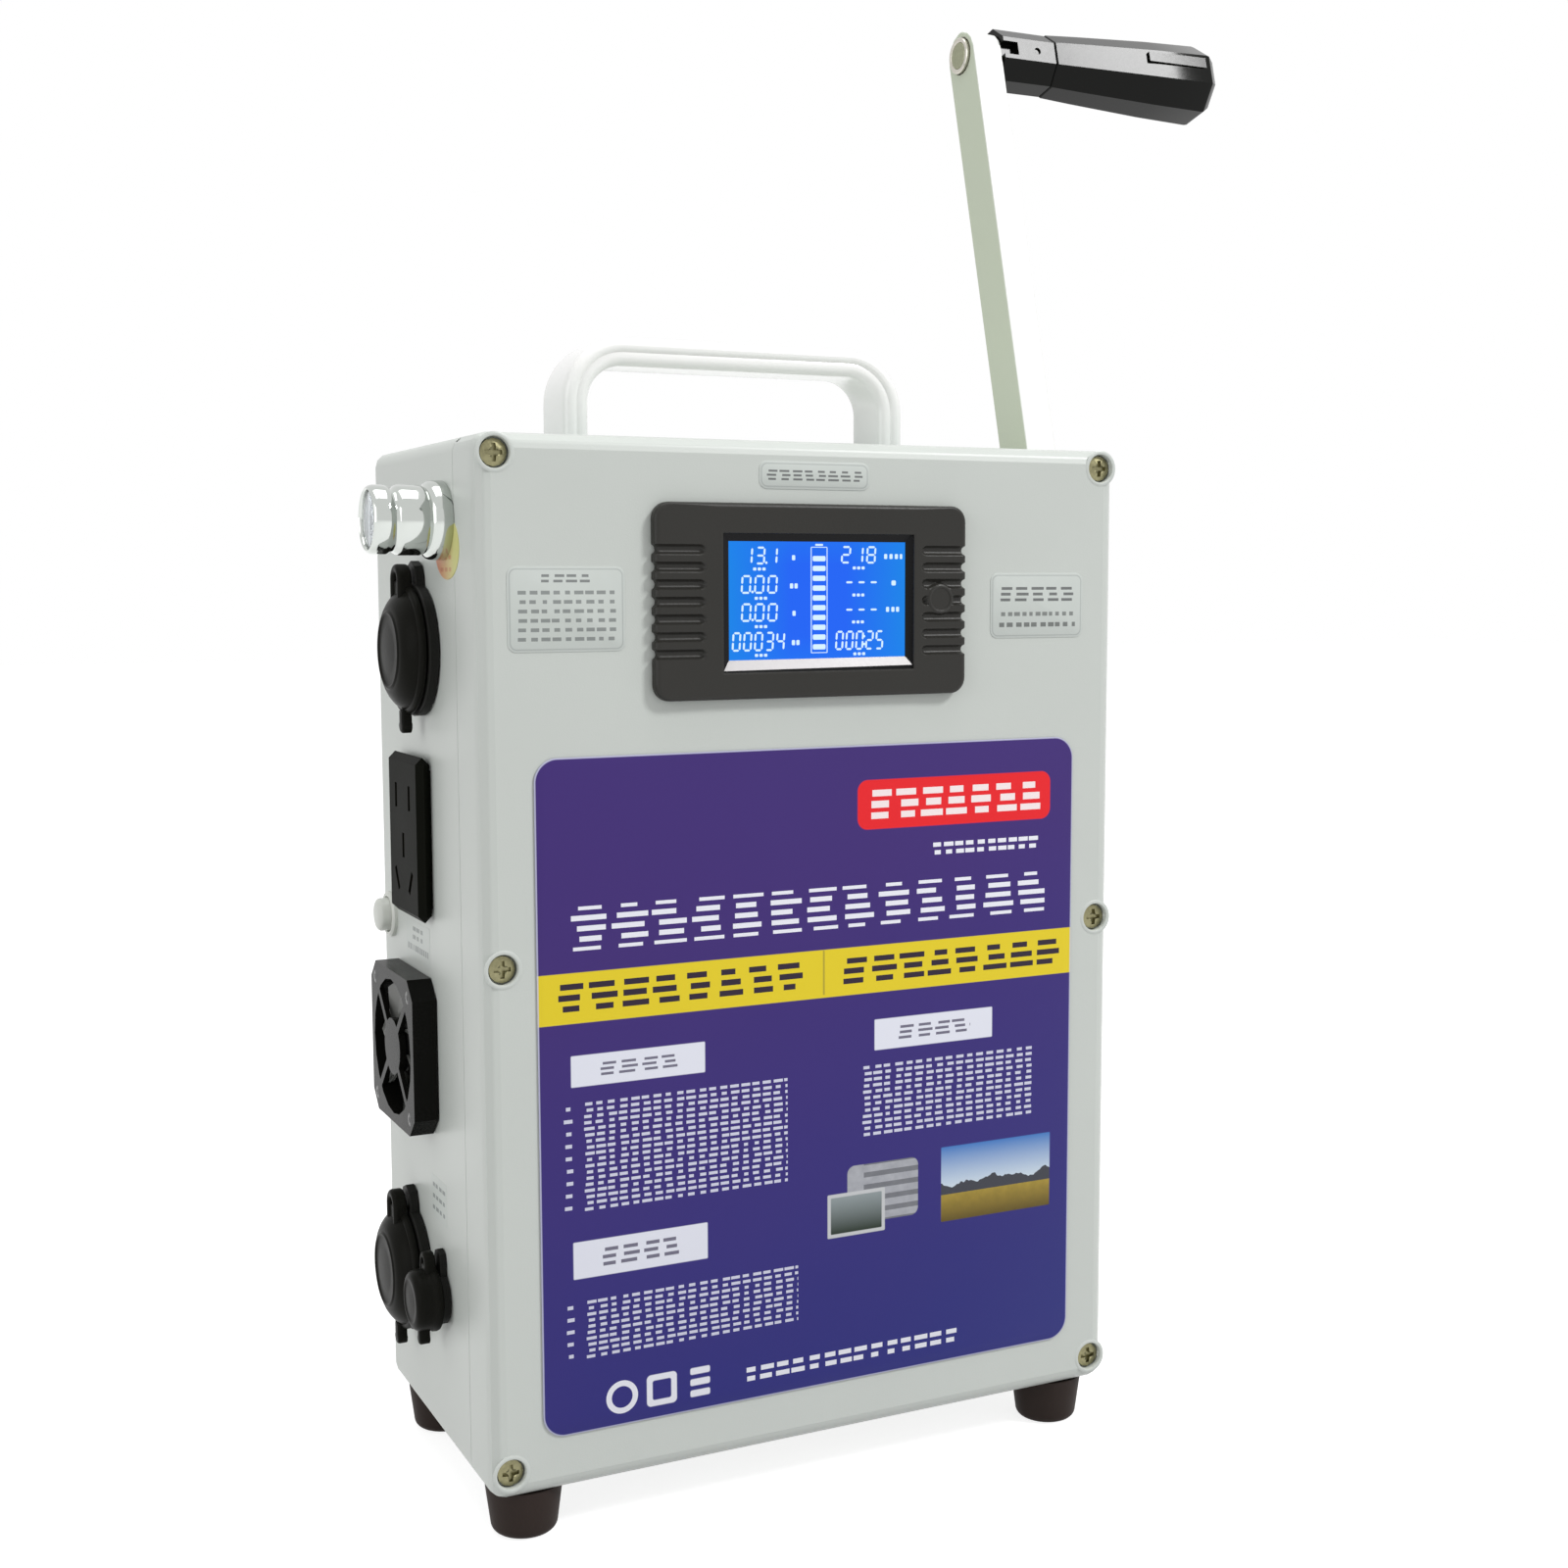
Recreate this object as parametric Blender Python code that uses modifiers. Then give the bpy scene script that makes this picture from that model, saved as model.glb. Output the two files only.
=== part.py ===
"""Hand crank generator: a plastic case with a carrying handle, a panel meter on its front, output
sockets down its left wall, and on its right wall a crank that drives a geared generator inside.

Case frame: X runs across the front with 0 at mid case, Y runs back from the front face, Z runs up
from the underside. One empty carries it, so that the world origin is under the middle of the whole
object, at the bottom of the feet. Lengths are in metres and angles in degrees until they are used.
"""
import math

import bmesh
import bpy
from mathutils import Matrix, Vector

# Clearances and modelling allowances
GAP = 0.0003
OVERRUN = 0.002
BOND = 0.0005
WELD_DISTANCE = 0.00001
ROUND_STEPS = 20
SMALL_STEPS = 12
LARGE_STEPS = 28
EDGE_STEPS = 2
CORNER_STEPS = 4
SMOOTH_ANGLE = 35

# Case shells and the seal between them
CASE_WIDTH = 0.184
CASE_WALL = 0.004
CASE_EDGE = 0.004
COVER_DEPTH = 0.018
SEAL_WIDTH = 0.0010
SEAL_INSET = 0.0016
SEAL_DEPTH = 0.0014
SEAL_CORNER = 0.001

# Cover screws and their bosses
SCREW_INSET = 0.005
SCREW_FLOOR_INSET = 0.007
SCREW_MID_RISE = 0.0025
SCREW_HEAD_RADIUS = 0.0034
SCREW_HEAD_HEIGHT = 0.0019
SCREW_DOME = 0.0006
SCREW_SHANK_RADIUS = 0.002
SCREW_SHANK_LENGTH = 0.026
SCREW_RECESS_RADIUS = 0.0039
SCREW_RECESS_DEPTH = 0.0028
CROSS_LENGTH = 0.0044
CROSS_WIDTH = 0.0011
CROSS_DEPTH = 0.0012
BOSS_REACH = 0.0046
BOSS_TAIL = 0.002

# Feet
FOOT_TOP_RADIUS = 0.010
FOOT_BOTTOM_RADIUS = 0.0086
FOOT_ROUNDING = 0.0016
FOOT_HEIGHT = 0.013
FOOT_SIDE_INSET = 0.012
FOOT_END_INSET = 0.012

# Carrying handle and its screws
HANDLE_LEFT = -0.052
HANDLE_RIGHT = 0.0425
HANDLE_RISE = 0.0290
HANDLE_THICKNESS = 0.0075
HANDLE_WIDTH = 0.020
HANDLE_BEND = 0.0135
HANDLE_ROUNDING = 0.0034
HANDLE_SCREW_RADIUS = 0.002
HANDLE_SCREW_GRIP = 0.009
HANDLE_SCREW_HEAD = 0.0042
HANDLE_SCREW_HEAD_HEIGHT = 0.0028

# Panel meter
METER_X = -0.0024
METER_TOP_MARGIN = 0.0161
METER_WIDTH = 0.0896
METER_TALL = 0.0496
METER_CORNER = 0.0035
METER_PROUD = 0.003
METER_EDGE = 0.0012
METER_BODY_INSET = 0.0023
METER_BODY_DEPTH = 0.0212
WINDOW_LEFT_MARGIN = 0.0192
WINDOW_RIGHT_MARGIN = 0.0148
WINDOW_SILL = 0.0062
WINDOW_TALL = 0.0365
SCREEN_THICKNESS = 0.0016
GROOVE_COUNT = 7
GROOVE_PITCH = 0.0046
GROOVE_RADIUS = 0.0014
GROOVE_DEPTH = 0.0007
GROOVE_LENGTH = 0.0135
METER_KEY_INSET = 0.0064
METER_KEY_RISE = 0.0004
METER_KEY_RADIUS = 0.003
METER_KEY_PROUD = 0.0006
METER_KEY_TAIL = 0.0012
METER_KEY_TRAVEL = 0.0008

# Front label
LABEL_SIDE_MARGIN = 0.0134
LABEL_BOTTOM = 0.0145
LABEL_METER_MARGIN = 0.0131
LABEL_CORNER = 0.006
LABEL_THICKNESS = 0.0004

# Lamp on the left wall
LAMP_SEAM_MARGIN = 0.001
LAMP_RISE = 0.0328
LAMP_BOSS_MARGIN = 0.0008
LAMP_FLANGE_RADIUS = 0.0106
LAMP_FLANGE_HEIGHT = 0.0050
LAMP_RING_RADIUS = 0.0087
LAMP_RING_HEIGHT = 0.0140
LAMP_END_RADIUS = 0.0086
LAMP_PROUD = 0.0195
LAMP_WAIST_RADIUS = 0.0078
LAMP_STEP = 0.0012
LAMP_FLANGE_LAP = 0.0029
LAMP_NECK_LENGTH = 0.016
LAMP_NUT_WIDTH = 0.0024
LAMP_CUP_RADIUS = 0.0070
LAMP_CUP_FLOOR_RADIUS = 0.0035
LAMP_CUP_DEPTH = 0.009
LENS_THICKNESS = 0.002
LENS_SEAT_DEPTH = 0.0028
LENS_SEAT_LIP = 0.0007
LENS_DOME = 0.0006

# Round outlet sockets with rubber caps
SOCKET_FLANGE_RADIUS = 0.0173
SOCKET_FLANGE_HEIGHT = 0.0030
SOCKET_BODY_RADIUS = 0.0140
SOCKET_BORE_RADIUS = 0.0105
SOCKET_FLOOR = 0.003
NUT_WIDTH = 0.0030
NUT_THICKNESS = 0.0055
CAP_RIM_RADIUS = 0.0168
CAP_RIM_HEIGHT = 0.0020
CAP_TOP_RADIUS = 0.0110
CAP_THICKNESS = 0.0064
CAP_PLUG_RADIUS = 0.0098
CAP_PLUG_TIP_RADIUS = 0.0090
CAP_PLUG_DEPTH = 0.0027
EAR_WIDTH = 0.0090
EAR_REACH = 0.0058
EAR_THICKNESS = 0.0046
EAR_HOLE_RADIUS = 0.0018
TAB_WIDTH = 0.0045
TAB_REACH = 0.0050
TAB_THICKNESS = 0.0022
HINGE_INSET = 0.0006
HINGE_RISE = 0.0010

# Where the two round sockets sit and how deep they are
DC_SOCKET_SET_BACK = 0.0005
DC_SOCKET_MARGIN = 0.00615
DC_SOCKET_LENGTH = 0.048
USB_SOCKET_REAR_MARGIN = 0.0119
USB_SOCKET_FLOOR_MARGIN = 0.0239
USB_SOCKET_LENGTH = 0.034
USB_FACE_DEPTH = 0.0060
USB_PORT_WIDTH = 0.0128
USB_PORT_TALL = 0.0052
USB_PORT_DEPTH = 0.012
USB_PORT_SPACING = 0.0086
USB_TONGUE_TALL = 0.0010

# Charging jack
JACK_MARGIN = 0.0013
JACK_FLANGE_RADIUS = 0.0072
JACK_FLANGE_HEIGHT = 0.0022
JACK_BODY_RADIUS = 0.0052
JACK_BODY_LENGTH = 0.017
JACK_BORE_RADIUS = 0.0032
JACK_BORE_DEPTH = 0.011
JACK_PIN_RADIUS = 0.001
JACK_PIN_SINK = 0.0026
JACK_PIN_POINT = 0.0006
JACK_CAP_RADIUS = 0.0087
JACK_CAP_TOP_RADIUS = 0.0070
JACK_CAP_THICKNESS = 0.0072
JACK_CAP_EDGE = 0.0012
JACK_PLUG_RADIUS = 0.0027
JACK_PLUG_TIP_RADIUS = 0.0024
JACK_PLUG_DEPTH = 0.0012
JACK_EAR_WIDTH = 0.0060
JACK_EAR_REACH = 0.0044
JACK_EAR_THICKNESS = 0.0036
JACK_EAR_HOLE_RADIUS = 0.0012
JACK_TAB_WIDTH = 0.0034
JACK_TAB_REACH = 0.0036

# Mains outlet
OUTLET_BUTTON_MARGIN = 0.0071
OUTLET_FAN_MARGIN = 0.01525
OUTLET_TALL = 0.0435
OUTLET_WIDTH = 0.030
OUTLET_PROUD = 0.004
OUTLET_CHAMFER = 0.0018
OUTLET_BODY_TALL = 0.036
OUTLET_BODY_WIDTH = 0.026
OUTLET_BODY_LENGTH = 0.025
OUTLET_SLOT_LENGTH = 0.0066
OUTLET_SLOT_WIDTH = 0.0018
OUTLET_SLOT_DEPTH = 0.012
OUTLET_SLOT_TILT = 30
OUTLET_PAIR_HEIGHT = 0.0105
OUTLET_PAIR_SPACING = 0.0127
OUTLET_EARTH_HEIGHT = -0.0025
OUTLET_TRIO_HEIGHT = -0.0120
OUTLET_TRIO_SPACING = 0.0130

# Output push button
BUTTON_REAR_MARGIN = 0.011
BUTTON_FAN_MARGIN = 0.0051
BUTTON_RADIUS = 0.0046
BUTTON_DOME = 0.0012
BUTTON_PROUD = 0.0048
BUTTON_TAIL = 0.008
BUTTON_TRAVEL = 0.002
BUTTON_BEZEL_RADIUS = 0.0064
BUTTON_BEZEL_HEIGHT = 0.0015
BUTTON_BODY_RADIUS = 0.0057
BUTTON_BODY_LENGTH = 0.016

# Cooling fan
FAN_REAR_MARGIN = 0.013
FAN_EAR_MARGIN = 0.0194
FAN_SIDE = 0.042
FAN_CORNER = 0.005
FAN_THICKNESS = 0.0068
FAN_BORE_RADIUS = 0.0185
FAN_STRUT_WIDTH = 0.0020
FAN_STRUT_THICKNESS = 0.0013
FAN_STRUT_ANGLES = (45, 135)
FAN_HUB_RADIUS = 0.0078
FAN_PIN_RADIUS = 0.0015
BLADE_COUNT = 7
BLADE_PITCH = 35
BLADE_CHORD = 0.0060
BLADE_THICKNESS = 0.0008
BLADE_TIP_GAP = 0.0009
BLADE_ROOT = 0.0020

# Crank: shaft, arm and grip
SHAFT_RADIUS = 0.005
SHAFT_INNER_RADIUS = 0.004
BUSH_RADIUS = 0.0077
BUSH_FLANGE_RADIUS = 0.0105
BUSH_FLANGE_HEIGHT = 0.002
ARM_STANDOFF = 0.008
ARM_THICKNESS = 0.0106
ARM_WIDTH = 0.015
ARM_LENGTH = 0.198
ARM_LEAN = 14.6
ARM_EDGE = 0.0008
HUB_SCREW_RADIUS = 0.0024
HUB_SCREW_LENGTH = 0.012
HUB_SCREW_HEAD_RADIUS = 0.0070
HUB_SCREW_HEAD_HEIGHT = 0.0034
SPINDLE_RADIUS = 0.004
SPINDLE_HEAD_RADIUS = 0.0066
SPINDLE_HEAD_HEIGHT = 0.005
SPINDLE_SOCKET_WIDTH = 0.005
SPINDLE_SOCKET_DEPTH = 0.0028
GRIP_NUT_RADIUS = 0.0055
GRIP_NUT_THICKNESS = 0.0022
GRIP_NUT_SINK = 0.0014
GRIP_NUT_RIM = 0.0006
COLLAR_RADIUS = 0.00936
COLLAR_END = 0.030
NOTCH_LENGTH = 0.0052
NOTCH_WIDTH = 0.0042
NOTCH_DEPTH = 0.0024
CROSS_PIN_PLACE = 0.0234
CROSS_PIN_RADIUS = 0.0011
CROSS_PIN_DEPTH = 0.0006
GRIP_ROOT_RADIUS = 0.0096
GRIP_TIP_RADIUS = 0.0124
GRIP_SHOULDER = 0.0865
GRIP_END = 0.093
GRIP_END_RADIUS = 0.0100
GRIP_SIDES = 8

# Gear train
GEAR_MODULE = 0.00125
WHEEL_TEETH = 48
PINION_TEETH = 12
FACE_WIDTH = 0.006
PINION_WIDTH = 0.007
BACKLASH = 0.0005
FLANK_ANGLE = 20
ADDENDUM_SHARE = 1.0
DEDENDUM_SHARE = 1.25
PLATE_THICKNESS = 0.002
PLATE_WIDTH = 0.028
PLATE_CORNER = 0.003
PLATE_MARGIN = 0.008
PILLAR_RADIUS = 0.003
PILLAR_SPREAD = 0.008
PILLAR_CLEARANCE = 0.003
TRAIN_DEPTH = 0.0276
FRAME_TOP_MARGIN = 0.01275
FRAME_BOSS_MARGIN = 0.0032
CLUSTER_PIN_RADIUS = 0.003
ROTOR_SHAFT_RADIUS = 0.003

# Generator
CAN_RADIUS = 0.030
CAN_REAR_MARGIN = 0.014
CAN_LENGTH = 0.040
CAN_WALL = 0.002
STATOR_BORE_RADIUS = 0.018
STATOR_LENGTH = 0.026
STATOR_SLOTS = 6
STATOR_SLOT_WIDTH = 0.006
STATOR_SLOT_DEPTH = 0.0062
AIR_GAP = 0.0006

# Battery pack and boards
BATTERY_SOCKET_MARGIN = 0.024
BATTERY_WALL_MARGIN = 0.010
BATTERY_THICKNESS = 0.0657
BATTERY_CAN_MARGIN = 0.0277
BATTERY_EDGE = 0.002
BOARD_THICKNESS = 0.0016
STANDOFF_RADIUS = 0.0026
STANDOFF_HEIGHT = 0.004
STANDOFF_INSET = 0.005
BOARD_WALL_MARGIN = 0.028
BOARD_SPACING = 0.010
INVERTER_WIDTH = 0.060
INVERTER_RISE = 0.0097
CONTROLLER_WIDTH = 0.090
CONTROLLER_TALL = 0.068
CONTROLLER_TOP_MARGIN = 0.013
CHIP_HEIGHT = 0.006
SINK_WIDTH = 0.044
SINK_TALL = 0.060
SINK_BASE = 0.003
SINK_DEPTH = 0.015
FIN_COUNT = 6
FIN_THICKNESS = 0.0015

# Component blocks on each board: centre across and up, then width and height, as board shares
INVERTER_BLOCK_SHARES = ((0.22, 0.90, 0.30, 0.12), (0.72, 0.90, 0.22, 0.10), (0.30, 0.07, 0.34, 0.09))
CONTROLLER_BLOCK_SHARES = ((0.20, 0.55, 0.22, 0.40), (0.55, 0.70, 0.26, 0.30), (0.80, 0.30, 0.18, 0.28))

# Heights up the left wall, each from the piece under it, which give the case its height
USB_SOCKET_HEIGHT = USB_SOCKET_FLOOR_MARGIN + SOCKET_FLANGE_RADIUS
JACK_HEIGHT = USB_SOCKET_HEIGHT
FAN_BOTTOM = USB_SOCKET_HEIGHT + SOCKET_FLANGE_RADIUS + EAR_REACH + FAN_EAR_MARGIN
FAN_HEIGHT = FAN_BOTTOM + FAN_SIDE / 2
FAN_TOP = FAN_BOTTOM + FAN_SIDE
BUTTON_HEIGHT = FAN_TOP + BUTTON_FAN_MARGIN + BUTTON_BEZEL_RADIUS
OUTLET_HEIGHT = FAN_TOP + OUTLET_FAN_MARGIN + OUTLET_TALL / 2
DC_SOCKET_BOTTOM = OUTLET_HEIGHT + OUTLET_TALL / 2 + DC_SOCKET_MARGIN
DC_SOCKET_HEIGHT = DC_SOCKET_BOTTOM + CAP_RIM_RADIUS + TAB_REACH
LAMP_HEIGHT = DC_SOCKET_HEIGHT + LAMP_RISE
LAMP_NECK_RADIUS = LAMP_FLANGE_RADIUS - LAMP_FLANGE_LAP
LAMP_NUT_TOP = LAMP_HEIGHT + LAMP_NECK_RADIUS + LAMP_NUT_WIDTH
CASE_HEIGHT = LAMP_NUT_TOP + LAMP_BOSS_MARGIN + BOSS_REACH + SCREW_INSET

# Depths, from the screw bosses to the gear train and the generator, which give the case its depth
BODY_FRONT = COVER_DEPTH + GAP
SCREW_SEAT = SCREW_RECESS_DEPTH - GAP
SCREW_TIP = SCREW_SEAT + SCREW_SHANK_LENGTH
BOSS_END = SCREW_TIP + GAP + BOSS_TAIL
SHAFT_DEPTH = BOSS_END + FRAME_BOSS_MARGIN + PLATE_WIDTH / 2
CASE_DEPTH = SHAFT_DEPTH + CAN_RADIUS + CAN_REAR_MARGIN + CASE_WALL
REAR_INSIDE = CASE_DEPTH - CASE_WALL
HANDLE_DEPTH = CASE_DEPTH / 2
LAMP_DEPTH = BODY_FRONT + LAMP_SEAM_MARGIN + LAMP_NECK_RADIUS
DC_SOCKET_DEPTH = CASE_DEPTH / 2 + DC_SOCKET_SET_BACK
USB_SOCKET_DEPTH = CASE_DEPTH - USB_SOCKET_REAR_MARGIN - SOCKET_FLANGE_RADIUS
JACK_DEPTH = USB_SOCKET_DEPTH - SOCKET_FLANGE_RADIUS - JACK_MARGIN - JACK_CAP_RADIUS
FAN_DEPTH = CASE_DEPTH - FAN_REAR_MARGIN - FAN_SIDE / 2
BUTTON_DEPTH = CASE_DEPTH - BUTTON_REAR_MARGIN
OUTLET_DEPTH = BUTTON_DEPTH - BUTTON_BEZEL_RADIUS - OUTLET_BUTTON_MARGIN - OUTLET_WIDTH / 2

# Places across the case
LEFT_FACE = -CASE_WIDTH / 2
RIGHT_FACE = CASE_WIDTH / 2
LEFT_INSIDE = LEFT_FACE + CASE_WALL
RIGHT_INSIDE = RIGHT_FACE - CASE_WALL
ARM_FACE = RIGHT_FACE + ARM_STANDOFF
OUTER_PLATE = RIGHT_INSIDE - GAP - PLATE_THICKNESS
INNER_PLATE = OUTER_PLATE - TRAIN_DEPTH
DRIVE_PLANE = OUTER_PLATE - PINION_WIDTH - PLATE_THICKNESS
ROTOR_PLANE = DRIVE_PLANE - PINION_WIDTH - GAP
CAN_FRONT = INNER_PLATE - GAP
CAN_BACK = CAN_FRONT - CAN_LENGTH
BATTERY_LEFT = LEFT_FACE + USB_SOCKET_LENGTH + BATTERY_SOCKET_MARGIN
BATTERY_RIGHT = RIGHT_INSIDE - BATTERY_WALL_MARGIN
BOARD_LEFT = LEFT_INSIDE + BOARD_WALL_MARGIN

# Front face, from the top down
SCREW_MID_HEIGHT = CASE_HEIGHT / 2 + SCREW_MID_RISE
METER_HEIGHT = CASE_HEIGHT - METER_TOP_MARGIN - METER_TALL / 2
METER_BOTTOM = METER_HEIGHT - METER_TALL / 2
METER_BODY_WIDTH = METER_WIDTH - 2 * METER_BODY_INSET
METER_BODY_TALL = METER_TALL - 2 * METER_BODY_INSET
WINDOW_LEFT = METER_X - METER_WIDTH / 2 + WINDOW_LEFT_MARGIN
WINDOW_RIGHT = METER_X + METER_WIDTH / 2 - WINDOW_RIGHT_MARGIN
METER_KEY_X = METER_X + METER_WIDTH / 2 - METER_KEY_INSET
WINDOW_BOTTOM = METER_BOTTOM + WINDOW_SILL
WINDOW_TOP = WINDOW_BOTTOM + WINDOW_TALL
METER_KEY_HEIGHT = METER_HEIGHT + METER_KEY_RISE
METER_FRONT = -METER_PROUD
METER_KEY_FRONT = METER_FRONT - METER_KEY_PROUD
LABEL_WIDTH = CASE_WIDTH - 2 * LABEL_SIDE_MARGIN
LABEL_TOP = METER_BOTTOM - LABEL_METER_MARGIN

# Gear train hung under the case top, then the battery and the boards in what is left
WHEEL_PITCH_RADIUS = GEAR_MODULE * WHEEL_TEETH / 2
PINION_PITCH_RADIUS = GEAR_MODULE * PINION_TEETH / 2
CENTRE_DISTANCE = WHEEL_PITCH_RADIUS + PINION_PITCH_RADIUS
WHEEL_TIP_RADIUS = WHEEL_PITCH_RADIUS + ADDENDUM_SHARE * GEAR_MODULE
FRAME_RISE = WHEEL_TIP_RADIUS + PILLAR_CLEARANCE + PILLAR_RADIUS + PLATE_MARGIN
SHAFT_HEIGHT = CASE_HEIGHT - CASE_WALL - FRAME_TOP_MARGIN - FRAME_RISE
CLUSTER_HEIGHT = SHAFT_HEIGHT - CENTRE_DISTANCE
ROTOR_HEIGHT = CLUSTER_HEIGHT - CENTRE_DISTANCE
BATTERY_BOTTOM = CASE_WALL + GAP
BATTERY_TOP = ROTOR_HEIGHT - CAN_RADIUS - BATTERY_CAN_MARGIN
BATTERY_FRONT = REAR_INSIDE - GAP - BATTERY_THICKNESS
CONTROLLER_TOP = CASE_HEIGHT - CASE_WALL - CONTROLLER_TOP_MARGIN
CONTROLLER_BOTTOM = CONTROLLER_TOP - CONTROLLER_TALL
INVERTER_BOTTOM = BATTERY_TOP + INVERTER_RISE
INVERTER_TOP = CONTROLLER_BOTTOM - BOARD_SPACING
BOARD_FACE = REAR_INSIDE - STANDOFF_HEIGHT - GAP
BOARD_FRONT = BOARD_FACE - BOARD_THICKNESS

# Quarter turns that point a local Z axis along the world's axes
LEFTWARD = (0, -math.pi / 2, 0)
RIGHTWARD = (0, math.pi / 2, 0)
FRONTWARD = (math.pi / 2, 0, 0)
ZERO = (0, 0, 0)

# Finishes: colour, roughness and metallic value
FINISHES = {
    "case_plastic": ((0.55, 0.60, 0.57), 0.45, 0.0),
    "black_plastic": ((0.012, 0.012, 0.011), 0.40, 0.0),
    "black_rubber": ((0.020, 0.019, 0.018), 0.70, 0.0),
    "white_plastic": ((0.75, 0.75, 0.71), 0.40, 0.0),
    "label_print": ((0.070, 0.040, 0.220), 0.35, 0.0),
    "screen": ((0.005, 0.050, 0.300), 0.10, 0.0),
    "aluminium": ((0.70, 0.71, 0.72), 0.35, 1.0),
    "painted_steel": ((0.72, 0.76, 0.72), 0.40, 0.0),
    "zinc": ((0.48, 0.44, 0.33), 0.35, 1.0),
    "chrome": ((0.80, 0.82, 0.82), 0.08, 1.0),
    "steel": ((0.50, 0.50, 0.50), 0.35, 1.0),
    "brass": ((0.60, 0.45, 0.18), 0.35, 1.0),
    "lens": ((0.80, 0.85, 0.88), 0.05, 0.0),
    "copper_wire": ((0.55, 0.22, 0.10), 0.40, 1.0),
    "magnet": ((0.10, 0.10, 0.11), 0.50, 0.6),
    "battery_wrap": ((0.05, 0.16, 0.40), 0.40, 0.0),
    "board": ((0.02, 0.17, 0.06), 0.45, 0.0),
}


def clear_scene():
    """Remove every object that the file opened with."""
    for item in list(bpy.data.objects):
        bpy.data.objects.remove(item, do_unlink=True)


def new_collection(name):
    """Make a collection in the scene."""
    made = bpy.data.collections.new(name)
    bpy.context.scene.collection.children.link(made)
    return made


clear_scene()
PARTS = new_collection("hand_crank_generator")
CUTTERS = new_collection("cutters")


def empty(name, place, turn=ZERO, holder=None):
    """An empty that carries pieces in a frame of its own."""
    made = bpy.data.objects.new(name, None)
    made.empty_display_size = CASE_WALL
    made.location = place
    made.rotation_euler = turn
    made.parent = holder
    PARTS.objects.link(made)
    return made


def octagon_reach(radius, lean):
    """How far an octagon with flats on its own axes reaches along Y and Z when it leans back."""
    angles = [math.radians(360 * (n + 0.5) / GRIP_SIDES - lean) for n in range(GRIP_SIDES)]
    return max(radius * math.cos(a) for a in angles), max(radius * math.sin(a) for a in angles)


def whole_centre():
    """Where the case frame sits so that the whole object stands centred over the origin."""
    lean = math.radians(ARM_LEAN)
    grip_y, grip_z = octagon_reach(GRIP_TIP_RADIUS, ARM_LEAN)
    left = LEFT_FACE - LAMP_PROUD
    right = ARM_FACE + GRIP_END
    front = METER_KEY_FRONT
    rear = SHAFT_DEPTH + ARM_LENGTH * math.sin(lean) + grip_y
    return Vector((-(left + right) / 2, -(front + rear) / 2, FOOT_HEIGHT + GAP))


CASE_FRAME = empty("case_frame", whole_centre())


def paint(name, look):
    """A Principled material of the piece's own."""
    colour, roughness, metallic = FINISHES[look]
    made = bpy.data.materials.new(name)
    made.use_nodes = True
    shader = made.node_tree.nodes["Principled BSDF"]
    shader.inputs["Base Color"].default_value = (*colour, 1)
    shader.inputs["Roughness"].default_value = roughness
    shader.inputs["Metallic"].default_value = metallic
    made.diffuse_color = (*colour, 1)
    return made


def mesh_from(bm):
    """Turn a bmesh into smooth-shaded mesh data with sharp creases kept."""
    data = bpy.data.meshes.new("shape")
    bm.to_mesh(data)
    bm.free()
    data.shade_smooth()
    data.set_sharp_from_angle(angle=math.radians(SMOOTH_ANGLE))
    return data


def box_mesh(low, high):
    """A cuboid between two corners."""
    low, high = Vector(low), Vector(high)
    bm = bmesh.new()
    bmesh.ops.create_cube(bm, size=1)
    bmesh.ops.scale(bm, vec=high - low, verts=bm.verts)
    bmesh.ops.translate(bm, vec=(low + high) / 2, verts=bm.verts)
    return mesh_from(bm)


def rod_mesh(start, end, radius, end_radius=None, sides=ROUND_STEPS, roll=0.0):
    """A cylinder or cone between two points."""
    start, end = Vector(start), Vector(end)
    length = (end - start).length
    bm = bmesh.new()
    top_radius = radius if end_radius is None else end_radius
    bmesh.ops.create_cone(bm, cap_ends=True, segments=sides, radius1=radius, radius2=top_radius,
                          depth=length)
    bmesh.ops.rotate(bm, cent=ZERO, matrix=Matrix.Rotation(roll, 3, "Z"), verts=bm.verts)
    turn = Vector((0, 0, 1)).rotation_difference(end - start).to_matrix().to_4x4()
    bmesh.ops.transform(bm, matrix=Matrix.Translation((start + end) / 2) @ turn, verts=bm.verts)
    return mesh_from(bm)


def add(mesh, name, group, place, turn, holder):
    """Put mesh data in the scene as an object."""
    made = bpy.data.objects.new(name, mesh)
    made.location = place
    made.rotation_euler = turn
    made.parent = CASE_FRAME if holder is None else holder
    group.objects.link(made)
    return made


def piece(name, mesh, look, place=ZERO, turn=ZERO, holder=None):
    """A sub-part of the object, with its own material."""
    made = add(mesh, name, PARTS, place, turn, holder)
    made.data.materials.append(paint(name, look))
    return made


def tool(mesh, place=ZERO, turn=ZERO, holder=None):
    """A shape that only cuts or extends others."""
    made = add(mesh, "tool", CUTTERS, place, turn, holder)
    made.hide_render = True
    made.display_type = "WIRE"
    return made


def combine(target, other, operation):
    """Add a Boolean step to a piece."""
    step = target.modifiers.new(operation.lower(), "BOOLEAN")
    step.operation = operation
    step.solver = "EXACT"
    step.object = other


def cut(target, other):
    """Take a shape away from a piece."""
    combine(target, other, "DIFFERENCE")


def join(target, other):
    """Make a shape one with a piece."""
    combine(target, other, "UNION")


def round_edges(target, width, segments=EDGE_STEPS):
    """Round the edges that a piece has so far."""
    step = target.modifiers.new("rounded_edges", "BEVEL")
    step.width = width
    step.segments = segments
    step.limit_method = "ANGLE"


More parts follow.
